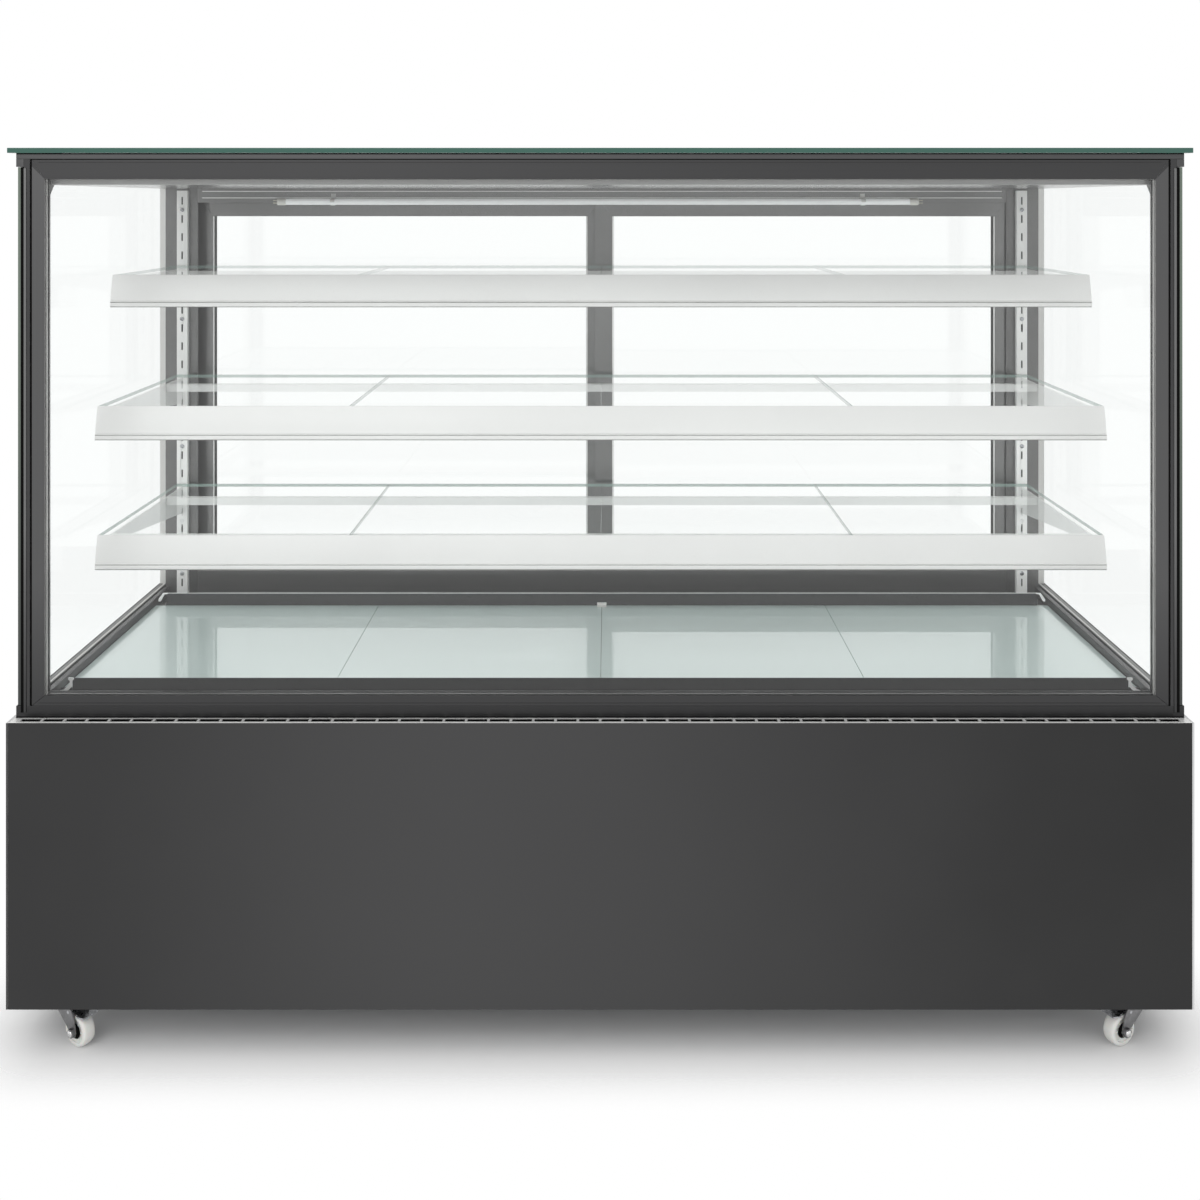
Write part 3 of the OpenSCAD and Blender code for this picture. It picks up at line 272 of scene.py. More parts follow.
def streaks_along(tree, axis, across=1400.0, lengthwise=0.5):
    """Drawing lines of an extrusion or brushed sheet, which run along one axis."""
    fine = tuple(lengthwise if letter == axis else across for letter in "XYZ")
    wide = tuple(lengthwise if letter == axis else across * 0.12 for letter in "XYZ")
    lines = noise(tree, place_scaled(tree, fine), 1.0, 4.0, 0.6)
    broad = noise(tree, place_scaled(tree, wide), 1.0, 2.0)
    return maths(tree, "ADD", maths(tree, "MULTIPLY", lines, 0.7), maths(tree, "MULTIPLY", broad, 0.3))


def metal(name, colour, streaks, metallic=0.85, roughness=(0.3, 0.4), depth=0.02 * MM, spread=0.045,
          other=None, zone=None, inward_painted_light=None):
    """Drawn or brushed metal whose tone, gloss and relief follow its lines. streaks is a function
    of the tree, which gives a value from 0 to 1. zone is such a function too, and where it is 0
    the metal has the other colour. inward_painted_light is a tone painted on faces turned
    sideways or down, as in a window's opening, as the light they catch."""
    material, tree, out = new_material(name)
    lines = streaks(tree)

    def toned(base):
        return blend_colours(tree, spread_out(tree, lines), times(base, 1 - spread), times(base, 1 + spread))

    tone = toned(colour)
    if other:
        tone = blend_colours(tree, zone(tree), toned(other), tone)
    # painted light: faces turned sideways or down get their own paler tone
    if inward_painted_light:
        aside = maths(tree, "GREATER_THAN", size_of(tree, along(tree, "X", "Normal")), 0.7)
        down = maths(tree, "LESS_THAN", along(tree, "Z", "Normal"), -0.7)
        tone = blend_colours(tree, maths(tree, "MAXIMUM", aside, down), tone, toned(inward_painted_light))
    relief = {"normal": bump(tree, lines, 0.35, depth)} if depth else {}
    principled(tree, out, base_color=tone, metallic=metallic,
               roughness=spread_out(tree, lines, *roughness), **relief)
    return material


def along_axis(axis, start, end):
    """Zone that rises from 0 at start to 1 at end, along one axis."""
    return lambda tree: ramp(tree, along(tree, axis), 0, 1, start, end)


def painted_light_on_uprights(centre_x, half_open, open_z, start, end):
    """Zone on a mitred frame's uprights, which rises with height from start to end; it paints the
    uprights darker low down, as shade.
    """
    def zone(tree):
        mask = upright_mask(tree, centre_x, half_open, open_z)
        return maths(tree, "MULTIPLY", mask, along_axis("Z", start, end)(tree))
    return zone


def off_front_faces(reach_x=9.0):
    """Zone that is 0 only on faces turned forwards, as far right as reach_x."""
    def zone(tree):
        return maths(tree, "MAXIMUM", maths(tree, "GREATER_THAN", along(tree, "Y", "Normal"), -0.35),
                     maths(tree, "GREATER_THAN", along(tree, "X"), reach_x))
    return zone


def run(axis):
    """Streaks along one axis."""
    return lambda tree: streaks_along(tree, axis)


def run_round(centre_x, half_open, open_z):
    """Streaks along each member of a mitred frame."""
    def streaks(tree):
        mask = upright_mask(tree, centre_x, half_open, open_z)
        return add(tree, "Mix", {"Factor": mask, 2: streaks_along(tree, "X"), 3: streaks_along(tree, "Z")},
                   data_type="FLOAT").outputs[0]
    return streaks


def coated(name, colour, roughness, peel=0.04 * MM, grain=520.0, other=None, zone=None):
    """Powder coat or paint: orange peel, fine grain and a slight change of tone. Where the zone is 0
    it has the other colour."""
    material, tree, out = new_material(name)
    place = place_scaled(tree)
    cloud = noise(tree, place, 3.0, 3.0)
    grains = noise(tree, place, grain, 3.0, 0.6)
    fine = noise(tree, place, grain * 5, 2.0)
    mottle = maths(tree, "ADD", maths(tree, "MULTIPLY", cloud, 0.7), maths(tree, "MULTIPLY", fine, 0.3))
    tone = blend_colours(tree, spread_out(tree, mottle), times(colour, 0.96), times(colour, 1.04))
    if other:
        tone = blend_colours(tree, zone(tree), other, tone)
    principled(tree, out, base_color=tone, normal=bump(tree, grains, 0.4, peel),
               roughness=spread_out(tree, grains, roughness * 0.85, roughness * 1.15))
    return material


def satin_panel(name):
    """Dark satin film with a painted sheen: its colour swells left of the middle and falls towards both
    ends, standing in for a soft reflection.
    """
    material, tree, out = new_material(name)
    place = place_scaled(tree)
    # painted highlight: the base colour ramps along X in place of a reflection
    sheen = add(tree, "ValToRGB", {"Fac": along_axis("X", -0.9, 0.9)(tree)})
    sheen.color_ramp.interpolation = "EASE"
    stops = sheen.color_ramp.elements
    for position, tone in ((0.0, 0.021), (0.38, 0.046), (1.0, 0.013)):
        stop = stops[0] if position == 0.0 else stops[-1] if position == 1.0 else stops.new(position)
        stop.color = rgba((tone, tone, tone * 1.02))
    fine = noise(tree, place, 1400.0, 3.0)
    haze = noise(tree, place, 3.5, 3.0)
    tone = blend_colours(tree, spread_out(tree, haze, 0.0, 0.12), sheen.outputs["Color"], (0.06, 0.06, 0.06))
    principled(tree, out, base_color=tone, metallic=0.2, specular_ior_level=0.35,
               roughness=spread_out(tree, fine, 0.32, 0.44), normal=bump(tree, fine, 0.3, 0.015 * MM))
    return material


def zinc_sheet(name, colour, size):
    """Galvanised sheet: crystals of zinc, each with its own tone and gloss."""
    material, tree, out = new_material(name)
    place = place_scaled(tree)
    crystals = add(tree, "TexVoronoi", {"Vector": place, "Scale": size})
    tone = add(tree, "SeparateColor", {0: crystals.outputs["Color"]}).outputs[0]
    grain = noise(tree, place, 900.0, 3.0)
    principled(tree, out, base_color=blend_colours(tree, tone, times(colour, 0.82), colour), metallic=0.9,
               roughness=ramp(tree, tone, 0.28, 0.5), normal=bump(tree, grain, 0.2, 0.04 * MM))
    return material


def plated(name, colour, roughness=(0.18, 0.36), relief=0.03 * MM):
    """Bright plating with faint stains and rolling marks."""
    material, tree, out = new_material(name)
    place = place_scaled(tree)
    stain = noise(tree, place, 90.0, 4.0, 0.6)
    marks = noise(tree, place, 1500.0, 2.0)
    stained = ramp(tree, stain, 0, 1, 0.35, 0.65)
    principled(tree, out, base_color=blend_colours(tree, stained, times(colour, 0.7), colour), metallic=1.0,
               roughness=spread_out(tree, stain, *roughness),
               normal=bump(tree, marks, 0.25, relief))
    return material


def moulded(name, colour, roughness, grain=700.0, depth=0.05 * MM, subsurface=0.0, sheen=0.5):
    """Moulded plastic: a fine skin and a slight change of tone."""
    material, tree, out = new_material(name)
    place = place_scaled(tree)
    cloud = noise(tree, place, 40.0, 3.0)
    skin = noise(tree, place, grain, 3.0)
    principled(tree, out, base_color=blend_colours(tree, cloud, times(colour, 0.93), colour),
               roughness=spread_out(tree, skin, roughness * 0.85, roughness * 1.15),
               subsurface_weight=subsurface, subsurface_scale=0.004, specular_ior_level=sheen,
               normal=bump(tree, skin, 0.3, depth))
    return material


def pane(name, axis, edge=(0.10, 0.30, 0.23), foot=None, mirror=0.8, straight=True):
    """Flat glass: clear faces that mirror at a low angle, and green edges. axis is the way the faces
    look. foot is a darker colour painted on the edges near the base as shade. straight passes rays
    unchanged, and otherwise they count as refracted, though they don't bend."""
    material, tree, out = new_material(name)
    back = add(tree, "NewGeometry").outputs["Backfacing"]
    fresnel = add(tree, "Fresnel", {"IOR": 1.5}).outputs[0]
    outside = maths(tree, "SUBTRACT", 1.0, back)
    share = maths(tree, "MULTIPLY", maths(tree, "MULTIPLY", fresnel, mirror), outside)
    if straight:
        clear = add(tree, "BsdfTransparent", {"Color": CLEAR})
    else:
        clear = add(tree, "BsdfRefraction", {"Color": CLEAR, "Roughness": 0.0, "IOR": 1.0})
    shine = add(tree, "BsdfGlossy", {"Color": (1, 1, 1, 1), "Roughness": 0.0})
    face = add(tree, "MixShader", {0: share, 1: clear.outputs[0], 2: shine.outputs[0]})
    lines = noise(tree, place_scaled(tree, (9, 9, 9)), 1.0, 3.0)
    tone = blend_colours(tree, lines, times(edge, 0.75), edge)
    # painted shade: the edges darken towards the base
    if foot:
        tone = blend_colours(tree, along_axis("Z", 0.56, 1.1)(tree), foot, tone)
    rim = add(tree, "BsdfPrincipled", {"Base Color": tone, "Roughness": 0.12, "IOR": 1.5, "Coat Weight": 0.5})
    both = add(tree, "MixShader", {0: on_rim(tree, axis), 1: face.outputs[0], 2: rim.outputs[0]})
    tree.links.new(both.outputs[0], out.inputs["Surface"])
    return material


def pale_deck(name):
    """Pale green-grey deck glass, coloured at the back and polished on top."""
    material, tree, out = new_material(name)
    place = place_scaled(tree)
    cloud = noise(tree, place, 2.2, 2.0)
    body = blend_colours(tree, cloud, (0.64, 0.765, 0.74), (0.69, 0.805, 0.785))
    tone = blend_colours(tree, on_rim(tree, "Z"), body, (0.22, 0.42, 0.36))
    principled(tree, out, base_color=tone, roughness=0.32,
               coat_weight=1.0, coat_roughness=0.015, coat_ior=1.6)
    return material


def spacer_bar(name):
    """Pale spacer bar between panes, grey on the front window's uprights and dark where it lies level.
    The lowest bars of the side windows are dark with a bright line painted along them as a highlight."""
    material, tree, out = new_material(name)
    front_y, upright_x, lowest_z, highlight_x, highlight_half = -0.32, 0.849, 0.5318, 0.8787, 0.0017
    aside = size_of(tree, along(tree, "X"))
    in_front = maths(tree, "LESS_THAN", along(tree, "Y"), front_y)
    level = maths(tree, "LESS_THAN", aside, upright_x)
    lowest = maths(tree, "LESS_THAN", along(tree, "Z"), lowest_z)
    # painted highlight: a bright line along the lowest side bars
    highlight_line = maths(tree, "LESS_THAN", size_of(tree, aside, highlight_x), highlight_half)
    lines = streaks_along(tree, "Z")
    pale = blend_colours(tree, lines, (0.84, 0.84, 0.82), (0.92, 0.92, 0.9))
    front_tone = blend_colours(tree, level, (0.4, 0.4, 0.39), (0.05, 0.05, 0.05))
    sill_tone = blend_colours(tree, highlight_line, (0.13, 0.13, 0.128), (0.7, 0.7, 0.68))
    side_tone = blend_colours(tree, lowest, pale, sill_tone)
    tone = blend_colours(tree, in_front, side_tone, front_tone)
    principled(tree, out, base_color=tone, metallic=0.15, roughness=ramp(tree, lines, 0.3, 0.45))
    return material


def foam_material(name):
    material, tree, out = new_material(name)
    place = place_scaled(tree)
    cells = add(tree, "TexVoronoi", {"Vector": place, "Scale": 420.0}).outputs["Distance"]
    cloud = noise(tree, place, 14.0, 3.0)
    principled(tree, out, base_color=blend_colours(tree, cloud, (0.62, 0.5, 0.26), (0.78, 0.68, 0.42)),
               roughness=0.9, normal=bump(tree, cells, 0.7, 0.6 * MM))
    return material


def lamp(name, reach_x, cap, pins):
    """Frosted cover of the lamp with white end caps and plated pins, told apart along its length."""
    material, tree, out = new_material(name)
    half = (reach_x[1] - reach_x[0]) / 2
    aside = size_of(tree, along(tree, "X"), (reach_x[0] + reach_x[1]) / 2)
    is_cap = maths(tree, "GREATER_THAN", aside, half - cap)
    is_pin = maths(tree, "GREATER_THAN", aside, half - pins)
    lines = streaks_along(tree, "X", 900.0, 2.0)
    cover = blend_colours(tree, lines, (0.74, 0.75, 0.76), (0.86, 0.87, 0.87))
    capped = blend_colours(tree, is_cap, cover, (0.82, 0.81, 0.77))
    tone = blend_colours(tree, is_pin, capped, (0.6, 0.58, 0.5))
    principled(tree, out, base_color=tone, roughness=0.28, metallic=is_pin, emission_color=tone,
               emission_strength=ramp(tree, is_cap, 0.25, 0.0))
    return material


# ---------------------------------------------------------------- finishes of the CAD nodes

def smooth_group():
    """Geometry nodes that shade every face smooth, so that the weighted normals count."""
    group = bpy.data.node_groups.new("shade_smooth", "GeometryNodeTree")
    group.interface.new_socket("Geometry", in_out="INPUT", socket_type="NodeSocketGeometry")
    group.interface.new_socket("Geometry", in_out="OUTPUT", socket_type="NodeSocketGeometry")
    start = group.nodes.new("NodeGroupInput")
    shade = group.nodes.new("GeometryNodeSetShadeSmooth")
    end = group.nodes.new("NodeGroupOutput")
    group.links.new(start.outputs[0], shade.inputs["Geometry"])
    group.links.new(shade.outputs[0], end.inputs[0])
    return group


def soften(piece, width, segments=2):
    """Welds a mesh and rounds its sharp edges."""
    weld = piece.modifiers.new("weld", "WELD")
    weld.merge_threshold = 0.01 * MM
    bevel = piece.modifiers.new("bevel", "BEVEL")
    bevel.width = width
    bevel.segments = segments
    bevel.limit_method = "ANGLE"
    bevel.angle_limit = math.radians(32)
    bevel.miter_outer = "MITER_ARC"
    shade = piece.modifiers.new("smooth", "NODES")
    shade.node_group = SMOOTH
    normals = piece.modifiers.new("normals", "WEIGHTED_NORMAL")
    normals.keep_sharp = False
    normals.weight = 100


def finish_node(name, material, edge=0.0, segments=2):
    """Gives a CAD node its material and, with an edge width, rounded edges."""
    piece = frame["nodes"][name]
    piece.material_slots[0].material = material
    if edge:
        soften(piece, edge, segments)


def node_box(name):
    """Ranges of X, Y and Z of a CAD node."""
    low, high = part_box(name)
    return [(low[k], high[k]) for k in range(3)]


def in_mm(points):
    """Points written in millimetres."""
    return [(u * MM, v * MM) for u, v in points]


def span(start, length):
    """Range from start, both in millimetres."""
    return (start * MM, (start + length) * MM)


def on_side(side, near, far):
    """Range of X from near to far millimetres off the middle, on the side -1 or 1."""
    return tuple(sorted((side * near * MM, side * far * MM)))


# ---------------------------------------------------------------- detailed pieces

def build(name, mesh, material, body, place=None, smooth=35):
    """Object from a bmesh, with its material and the body that it rides on."""
    bmesh.ops.remove_doubles(mesh, verts=mesh.verts, dist=0.002 * MM)
    bmesh.ops.recalc_face_normals(mesh, faces=mesh.faces)
    data = bpy.data.meshes.new(name)
    mesh.to_mesh(data)
    mesh.free()
    data.materials.append(material)
    data.shade_smooth()
    data.set_sharp_from_angle(angle=math.radians(smooth))
    piece = bpy.data.objects.new(name, data)
    bpy.context.scene.collection.objects.link(piece)
    if place:
        piece.matrix_world = place
    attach(piece, body)
    return piece


def lathe(mesh, profile, spokes=48, at=None, closed=False, shape=None):
    """Turns a profile of (radius, height) about Z. shape changes the height at an angle and a radius."""
    rings = []
    for r, h in profile:
        ring = []
        for k in range(spokes):
            a = 2 * math.pi * k / spokes
            lift = shape(a, r, h) if shape else 0.0
            point = Vector((r * math.cos(a), r * math.sin(a), h + lift))
            ring.append(mesh.verts.new(at @ point if at else point))
            if r == 0:
                break
        rings.append(ring)
    pairs = list(zip(rings, rings[1:])) + ([(rings[-1], rings[0])] if closed else [])
    for low, high in pairs:
        for k in range(spokes):
            after = (k + 1) % spokes
            corners = [low[k % len(low)], low[after % len(low)], high[after % len(high)], high[k % len(high)]]
            unique = list(dict.fromkeys(corners))
            if len(unique) > 2:
                mesh.faces.new(unique)


def axis_place(origin, axis):
    """Frame at origin whose Z lies along axis."""
    return Matrix.Translation(origin) @ Vector(axis).to_track_quat("Z", "Y").to_matrix().to_4x4()


def lumps(node):
    """Boxes round the separate lumps of a CAD node."""
    mesh = bmesh.new()
    mesh.from_mesh(frame["nodes"][node].data)
    bmesh.ops.remove_doubles(mesh, verts=mesh.verts, dist=0.01 * MM)
    found, seen = [], set()
    for start in mesh.verts:
        if start in seen:
            continue
        seen.add(start)
        group, waiting = [], [start]
        while waiting:
            vert = waiting.pop()
            group.append(vert.co.copy())
            for edge in vert.link_edges:
                other = edge.other_vert(vert)
                if other not in seen:
                    seen.add(other)
                    waiting.append(other)
        found.append([(min(c[k] for c in group), max(c[k] for c in group)) for k in range(3)])
    mesh.free()
    return found


def make_screws():
    """Cross-head screws in place of the plain ones, each on the plane that the plain head sits on."""
    head_depth = 2.1 * MM
    head = [(4.2, 0), (4.2, 0.9), (4.0, 1.3), (3.5, 1.7), (2.8, 2.0), (2.2, 2.1), (1.5, 2.12), (0.8, 2.14),
            (0, 2.14)]

    def recess(angle, r, _):
        arm = abs(math.sin(2 * angle)) < 0.5
        return -0.9 * MM if (arm and r < 2.3 * MM) or r < 0.9 * MM else 0.0

    mesh = bmesh.new()
    for x, y, z in lumps("fasteners"):
        facing = 1 if y[0] > 0.32 else -1
        plane = y[1] - head_depth if facing > 0 else y[0] + head_depth
        place = axis_place(((x[0] + x[1]) / 2, plane, (z[0] + z[1]) / 2), (0, facing, 0))
        turn = Matrix.Rotation(0.7 + 31 * x[0] + 17 * z[0], 4, "Z")
        lathe(mesh, in_mm(head), 32, place @ turn, shape=recess)
    screws = build("cross_head_screws", mesh, zinc, "case", smooth=50)
    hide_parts("fasteners")


def make_wheel(corner):
    """Nylon wheel with a rounded tread, a ribbed web and a raised hub under black caps. Its sections
    are in millimetres from the middle."""
    node, body = "caster_wheel_" + corner, "wheel_" + corner
    spin = JOINTS["wheel_spin_" + corner]
    centre, axis = Vector(spin["pos_m"]), Vector(spin["axis"]).normalized()
    points = [(v.co - centre) / MM for v in frame["nodes"][node].data.vertices]
    hub = max(abs(p.dot(axis)) for p in points)
    radius = max((p - axis * p.dot(axis)).length for p in points)
    half, web, hub_r, tread_r = 10, 7.2, 8.4, 4.6
    side = [(hub_r - 1.6, hub - 0.9), (hub_r - 1.4, hub - 0.1), (hub_r - 0.8, hub), (hub_r, hub - 0.6),
            (hub_r + 0.3, web + 1), (hub_r + 1.2, web), (16.5, web), (17.4, web + 0.6), (17.8, half - 0.7),
            (18.6, half), (19.6, half - 0.05)]
    tread = []
    for k in range(13):
        a = math.radians(90 - 15 * k)
        bulge = math.copysign(abs(math.sin(a)) ** 0.8, math.sin(a))
        tread.append((radius - tread_r + tread_r * max(0.0, math.cos(a)) ** 0.55, (half - 0.2) * bulge))
    mesh = bmesh.new()
    lathe(mesh, in_mm(side + tread + [(r, -h) for r, h in reversed(side)]), 72)
    lathe(mesh, in_mm([(hub_r - 1.6, 0.9 - hub), (hub_r - 1.6, hub - 0.9)]), 72)
    for face in (-1, 1):
        for k in range(6):
            turn = Matrix.Rotation(math.pi * k / 3, 4, "Z")
            rib = [turn @ Vector((r, w, face * h)) * MM for r in (hub_r, 17.2) for w in (-0.9, 0.9)
                   for h in (web - 1, web + 1.5)]
            box = [mesh.verts.new(point) for point in rib]
            for quad in ((0, 1, 3, 2), (4, 6, 7, 5), (0, 4, 5, 1), (2, 3, 7, 6), (0, 2, 6, 4), (1, 5, 7, 3)):
                mesh.faces.new([box[k] for k in quad])
    place = axis_place(centre, axis)
    wheel = build("nylon_wheel_" + corner, mesh, nylon, body, place, 40)
    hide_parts(node)
    outer, deep = hub_r - 1.7, hub - 1.2
    bearing = [(4.3, -deep), (outer - 0.5, -deep), (outer, 0.5 - deep), (outer, deep - 0.5),
               (outer - 0.5, deep), (4.3, deep)]
    cap = [(4.4, hub + 0.03), (4.4, hub + 0.2), (hub_r + 0.4, hub + 0.2), (hub_r + 0.5, web + 2.4),
           (11.3, web + 2.4), (11.7, web + 2), (11.3, web + 1.6), (hub_r + 0.1, web + 1.6),
           (hub_r + 0.1, hub + 0.03)]
    ring = bmesh.new()
    for section in (bearing, [(r, -h) for r, h in cap], cap):
        lathe(ring, in_mm(section), 48, closed=True)
    build("wheel_bearing_" + corner, ring, sealant_and_shade, body, place)


def make_axle_caps(corner):
    """Domed cap on each of the axle's nuts."""
    spin = JOINTS["wheel_spin_" + corner]
    centre, axis = Vector(spin["pos_m"]), Vector(spin["axis"]).normalized()
    points = [v.co - centre for v in frame["nodes"]["caster_fork_" + corner].data.vertices]
    reach = max(abs(p.dot(axis)) for p in points if (p - axis * p.dot(axis)).length < 8 * MM)
    arc = [math.radians(15 * k) for k in range(6)]
    dome = [(5.2, -0.2)] + [(5.2 * math.cos(a), 2.6 * math.sin(a)) for a in arc] + [(0, 2.6)]
    mesh = bmesh.new()
    for face in (-1, 1):
        lathe(mesh, in_mm(dome), 32, axis_place(centre + axis * face * reach, axis * face))
    build("axle_caps_" + corner, mesh, bright_zinc, "fork_" + corner, smooth=50)


def make_rotor(node, hub_r, material, blades=5):
    """Fan rotor with a domed hub and swept, twisted blades, in place of the plain one."""
    centre = Vector(JOINTS[node + "_spin"]["pos_m"])
    points = [v.co - centre for v in frame["nodes"][node].data.vertices]
    reach = max(math.hypot(p.x, p.z) for p in points)
    deep = (min(p.y for p in points), max(p.y for p in points))
    middle, limit = (deep[0] + deep[1]) / 2, (deep[1] - deep[0]) / 2 * 0.98
    back, front = middle - hub_r * 0.4, middle + hub_r * 0.4
    shell = [(0.25, back), (0.9, back), (1, back + 0.1 * hub_r), (1, front - 0.25 * hub_r),
             (0.93, front - 0.08 * hub_r), (0.7, front), (0.3, front), (0.25, front)]
    mesh = bmesh.new()
    lathe(mesh, [(hub_r * share, h) for share, h in shell], 48, UPRIGHT, closed=True)
    rows, columns, thick, root = 12, 8, 0.022 * reach, hub_r * 0.94

    def surface(blade, face, t, u):
        """Point on one face of a blade, t from root to tip and u from -0.5 to 0.5 across it."""
        r = root + (reach - root) * t
        chord = reach * (0.5 + 0.32 * math.sin(math.pi * (0.15 + 0.75 * t)))
        pitch = math.radians(40 - 17 * t)
        profile = max(0.12, math.sqrt(max(0.0, 1 - (2 * u) ** 4)))
        rise = 0.07 * chord * (1 - 4 * u * u) + face * thick * 0.5 * profile * (1 - 0.4 * t)
        sideways = u * chord * math.cos(pitch) - rise * math.sin(pitch)
        depth = max(-limit, min(limit, u * chord * math.sin(pitch) + rise * math.cos(pitch)))
        a = 2 * math.pi * blade / blades + 0.28 * t * t + sideways / r
        return r * math.cos(a), middle + depth, r * math.sin(a)

    for blade in range(blades):
        top, low = [[[mesh.verts.new(surface(blade, face, i / rows, j / columns - 0.5))
                      for j in range(columns + 1)] for i in range(rows + 1)] for face in (1, -1)]
        for i in range(rows):
            for j in range(columns):
                mesh.faces.new([top[i][j], top[i + 1][j], top[i + 1][j + 1], top[i][j + 1]])
                mesh.faces.new([low[i][j + 1], low[i + 1][j + 1], low[i + 1][j], low[i][j]])
            for j in (0, columns):
                mesh.faces.new([top[i][j], low[i][j], low[i + 1][j], top[i + 1][j]])
        for i in (0, rows):
            for j in range(columns):
                mesh.faces.new([top[i][j], top[i][j + 1], low[i][j + 1], low[i][j]])
    rotor = build(node + "_rotor", mesh, material, node, Matrix.Translation(centre), 40)
    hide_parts(node)


def prism(mesh, sides):
    """Solid between two equal loops of points."""
    loops = [[mesh.verts.new(point) for point in side] for side in sides]
    mesh.faces.new(loops[0])
    mesh.faces.new(loops[1][::-1])
    for k in range(len(loops[0])):
        after = (k + 1) % len(loops[0])
        mesh.faces.new([loops[0][k], loops[1][k], loops[1][after], loops[0][after]])


def plate(mesh, outline, x):
    """Flat piece from an outline in Y and Z, between two values of X."""
    prism(mesh, [[(value, y, z) for y, z in outline] for value in x])


def round_corners(outline, radius, steps=4):
    """Outline with each corner replaced by an arc-like bend."""
    bent = []
    for k, corner in enumerate(outline):
        here = Vector(corner)
        before, after = Vector(outline[k - 1]) - here, Vector(outline[(k + 1) % len(outline)]) - here
        start = here + before.normalized() * min(radius, before.length / 2.01)
        end = here + after.normalized() * min(radius, after.length / 2.01)
        for i in range(steps + 1):
            t = i / steps
            bent.append(tuple(start * (1 - t) ** 2 + here * 2 * t * (1 - t) + end * t * t))
    return bent


def facing_plate(mesh, outline, y):
    """Flat piece from an outline in X and Z, between two values of Y."""
    prism(mesh, [[(x, value, z) for x, z in outline] for value in y])


def make_lip_ends():
    """Bright cut ends of both air lips, which step down and outwards to the tub's rim."""
    y = node_box("deck_tray")[1]
    front_end = [(-2, 541), (6, 541), (6.5, 537.5), (4, 536), (4, 532), (9, 526), (14, 522), (21, 520),
                 (21, 517), (13, 517.5), (5, 522), (0, 528), (0, 536), (-3, 538)]
    rear_end = [(-4, 544), (6, 544), (15, 531), (14, 527), (10, 528), (3, 541), (-4, 542.4)]
    mesh = bmesh.new()
    fillers = []
    for side in (-1, 1):
        for depth, outline in ((y[0] - 1.4 * MM, front_end), (y[1] - 2.4 * MM, rear_end)):
            shape = [(side * (LIP_HALF + u * MM), z * MM) for u, z in outline]
            facing_plate(mesh, round_corners(shape, 0.7 * MM, 3), (depth, depth + 1.2 * MM))
        fillers.append((on_side(side, 840.3, 859), (y[0] - 0.2 * MM, y[0] + 3.5 * MM), span(512, 12.5)))
    build("deck_lip_ends", mesh, cut_edge, "case")
    make_bars("deck_corner_fillers", fillers, dark_x)


def make_bars(name, boxes, material, body="case", edge=0.2 * MM):
    """Thin bars with rounded edges, each from its ranges of X, Y and Z."""
    mesh = bmesh.new()
    for x, y, z in boxes:
        plate(mesh, [(y[0], z[0]), (y[1], z[0]), (y[1], z[1]), (y[0], z[1])], x)
    bar = build(name, mesh, material, body)
    soften(bar, edge)
    return bar


def make_trims():
    """Fine ridges, beads and tapes that run along the extrusions. The header's pale ridges and the
    corner posts' pale bars are painted highlights, and the black tape under the top glass also
    stands in for the shadow under its edge.
    """
    header_y = node_box("rear_header")[1]
    lip_y, lip_z = node_box("deck_tray")[1:]
    top_x = node_box("top_rails")[0]
    ridge_y = (header_y[0] - 1 * MM, header_y[0] + 0.2 * MM)
    # pale ridges on the header face, painted as its highlight lines
    make_bars("header_highlight_ridges", [((-0.795, 0.795), ridge_y, span(z, 1.6)) for z in (1305, 1318)],
              bright_trim_and_highlight)
    make_bars("rear_lip_bead", [((-LIP_HALF, LIP_HALF), (lip_y[1] - 2.2 * MM, lip_y[1] + 0.4 * MM),
                                 (lip_z[1] - 0.2 * MM, lip_z[1] + 0.8 * MM))], bright_trim_and_highlight)
    # black tape under the top glass, whose near black also stands in for the shadow under the glass's edge
    make_bars("top_glass_tape_and_shadow", [((top_x[0] + 0.5 * MM, top_x[1] - 0.5 * MM), span(-343.6, 2.1),
                                  span(1370.2, 2))], sealant_and_shade)
    make_bars("sash_grooves", [((-0.86, 0.86), span(-343.3, 0.8), span(z, 1)) for z in (530, 1357.5)],
              rubber, edge=0.1 * MM)
    upright = span(516, 833)
    # pale bars on the corner posts, a painted highlight
    make_bars("corner_post_highlights", [(on_side(side, 878, 882), span(-344.6, 1.8), upright)
                                    for side in (-1, 1)], post_highlight_metal, edge=0.8 * MM)
    make_bars("side_pane_joints", [(on_side(side, 882.2, 886.8), span(-343.4, 1.2), upright)
                                   for side in (-1, 1)], sealant_and_shade)


def make_ledge_trims():
    """Black strip along the plinth's foot, painted as the shadow line under the plinth; a black bar under
    the vent slots, painted as the shade inside them; and a bright strip along the ledge's front, painted
    as the highlight on its edge.
    """
    x, y, z = node_box("ledge_grille")
    # painted shadow line under the plinth
    make_bars("plinth_shadow_line", [((-0.893, 0.893), span(-343.6, 1), (z[1] + 0.1 * MM, z[1] + 1.9 * MM))],
              sealant_and_shade)
    # black bar under the slots, painted as the shade inside them
    make_bars("vent_slot_shade", [((x[0] + 4 * MM, x[1] - 4 * MM), (y[0] + 4 * MM, y[1] - 4 * MM),
                             (z[0] - 1.2 * MM, z[0] - 0.2 * MM))], sealant_and_shade)
    # bright strip painted as the highlight on the ledge's front edge
    make_bars("ledge_edge_highlight", [(x, (y[0] - 0.9 * MM, y[0] + 1.1 * MM), (z[1] - 0.1 * MM, z[1] + 0.7 * MM))],
              bright_trim_and_highlight)


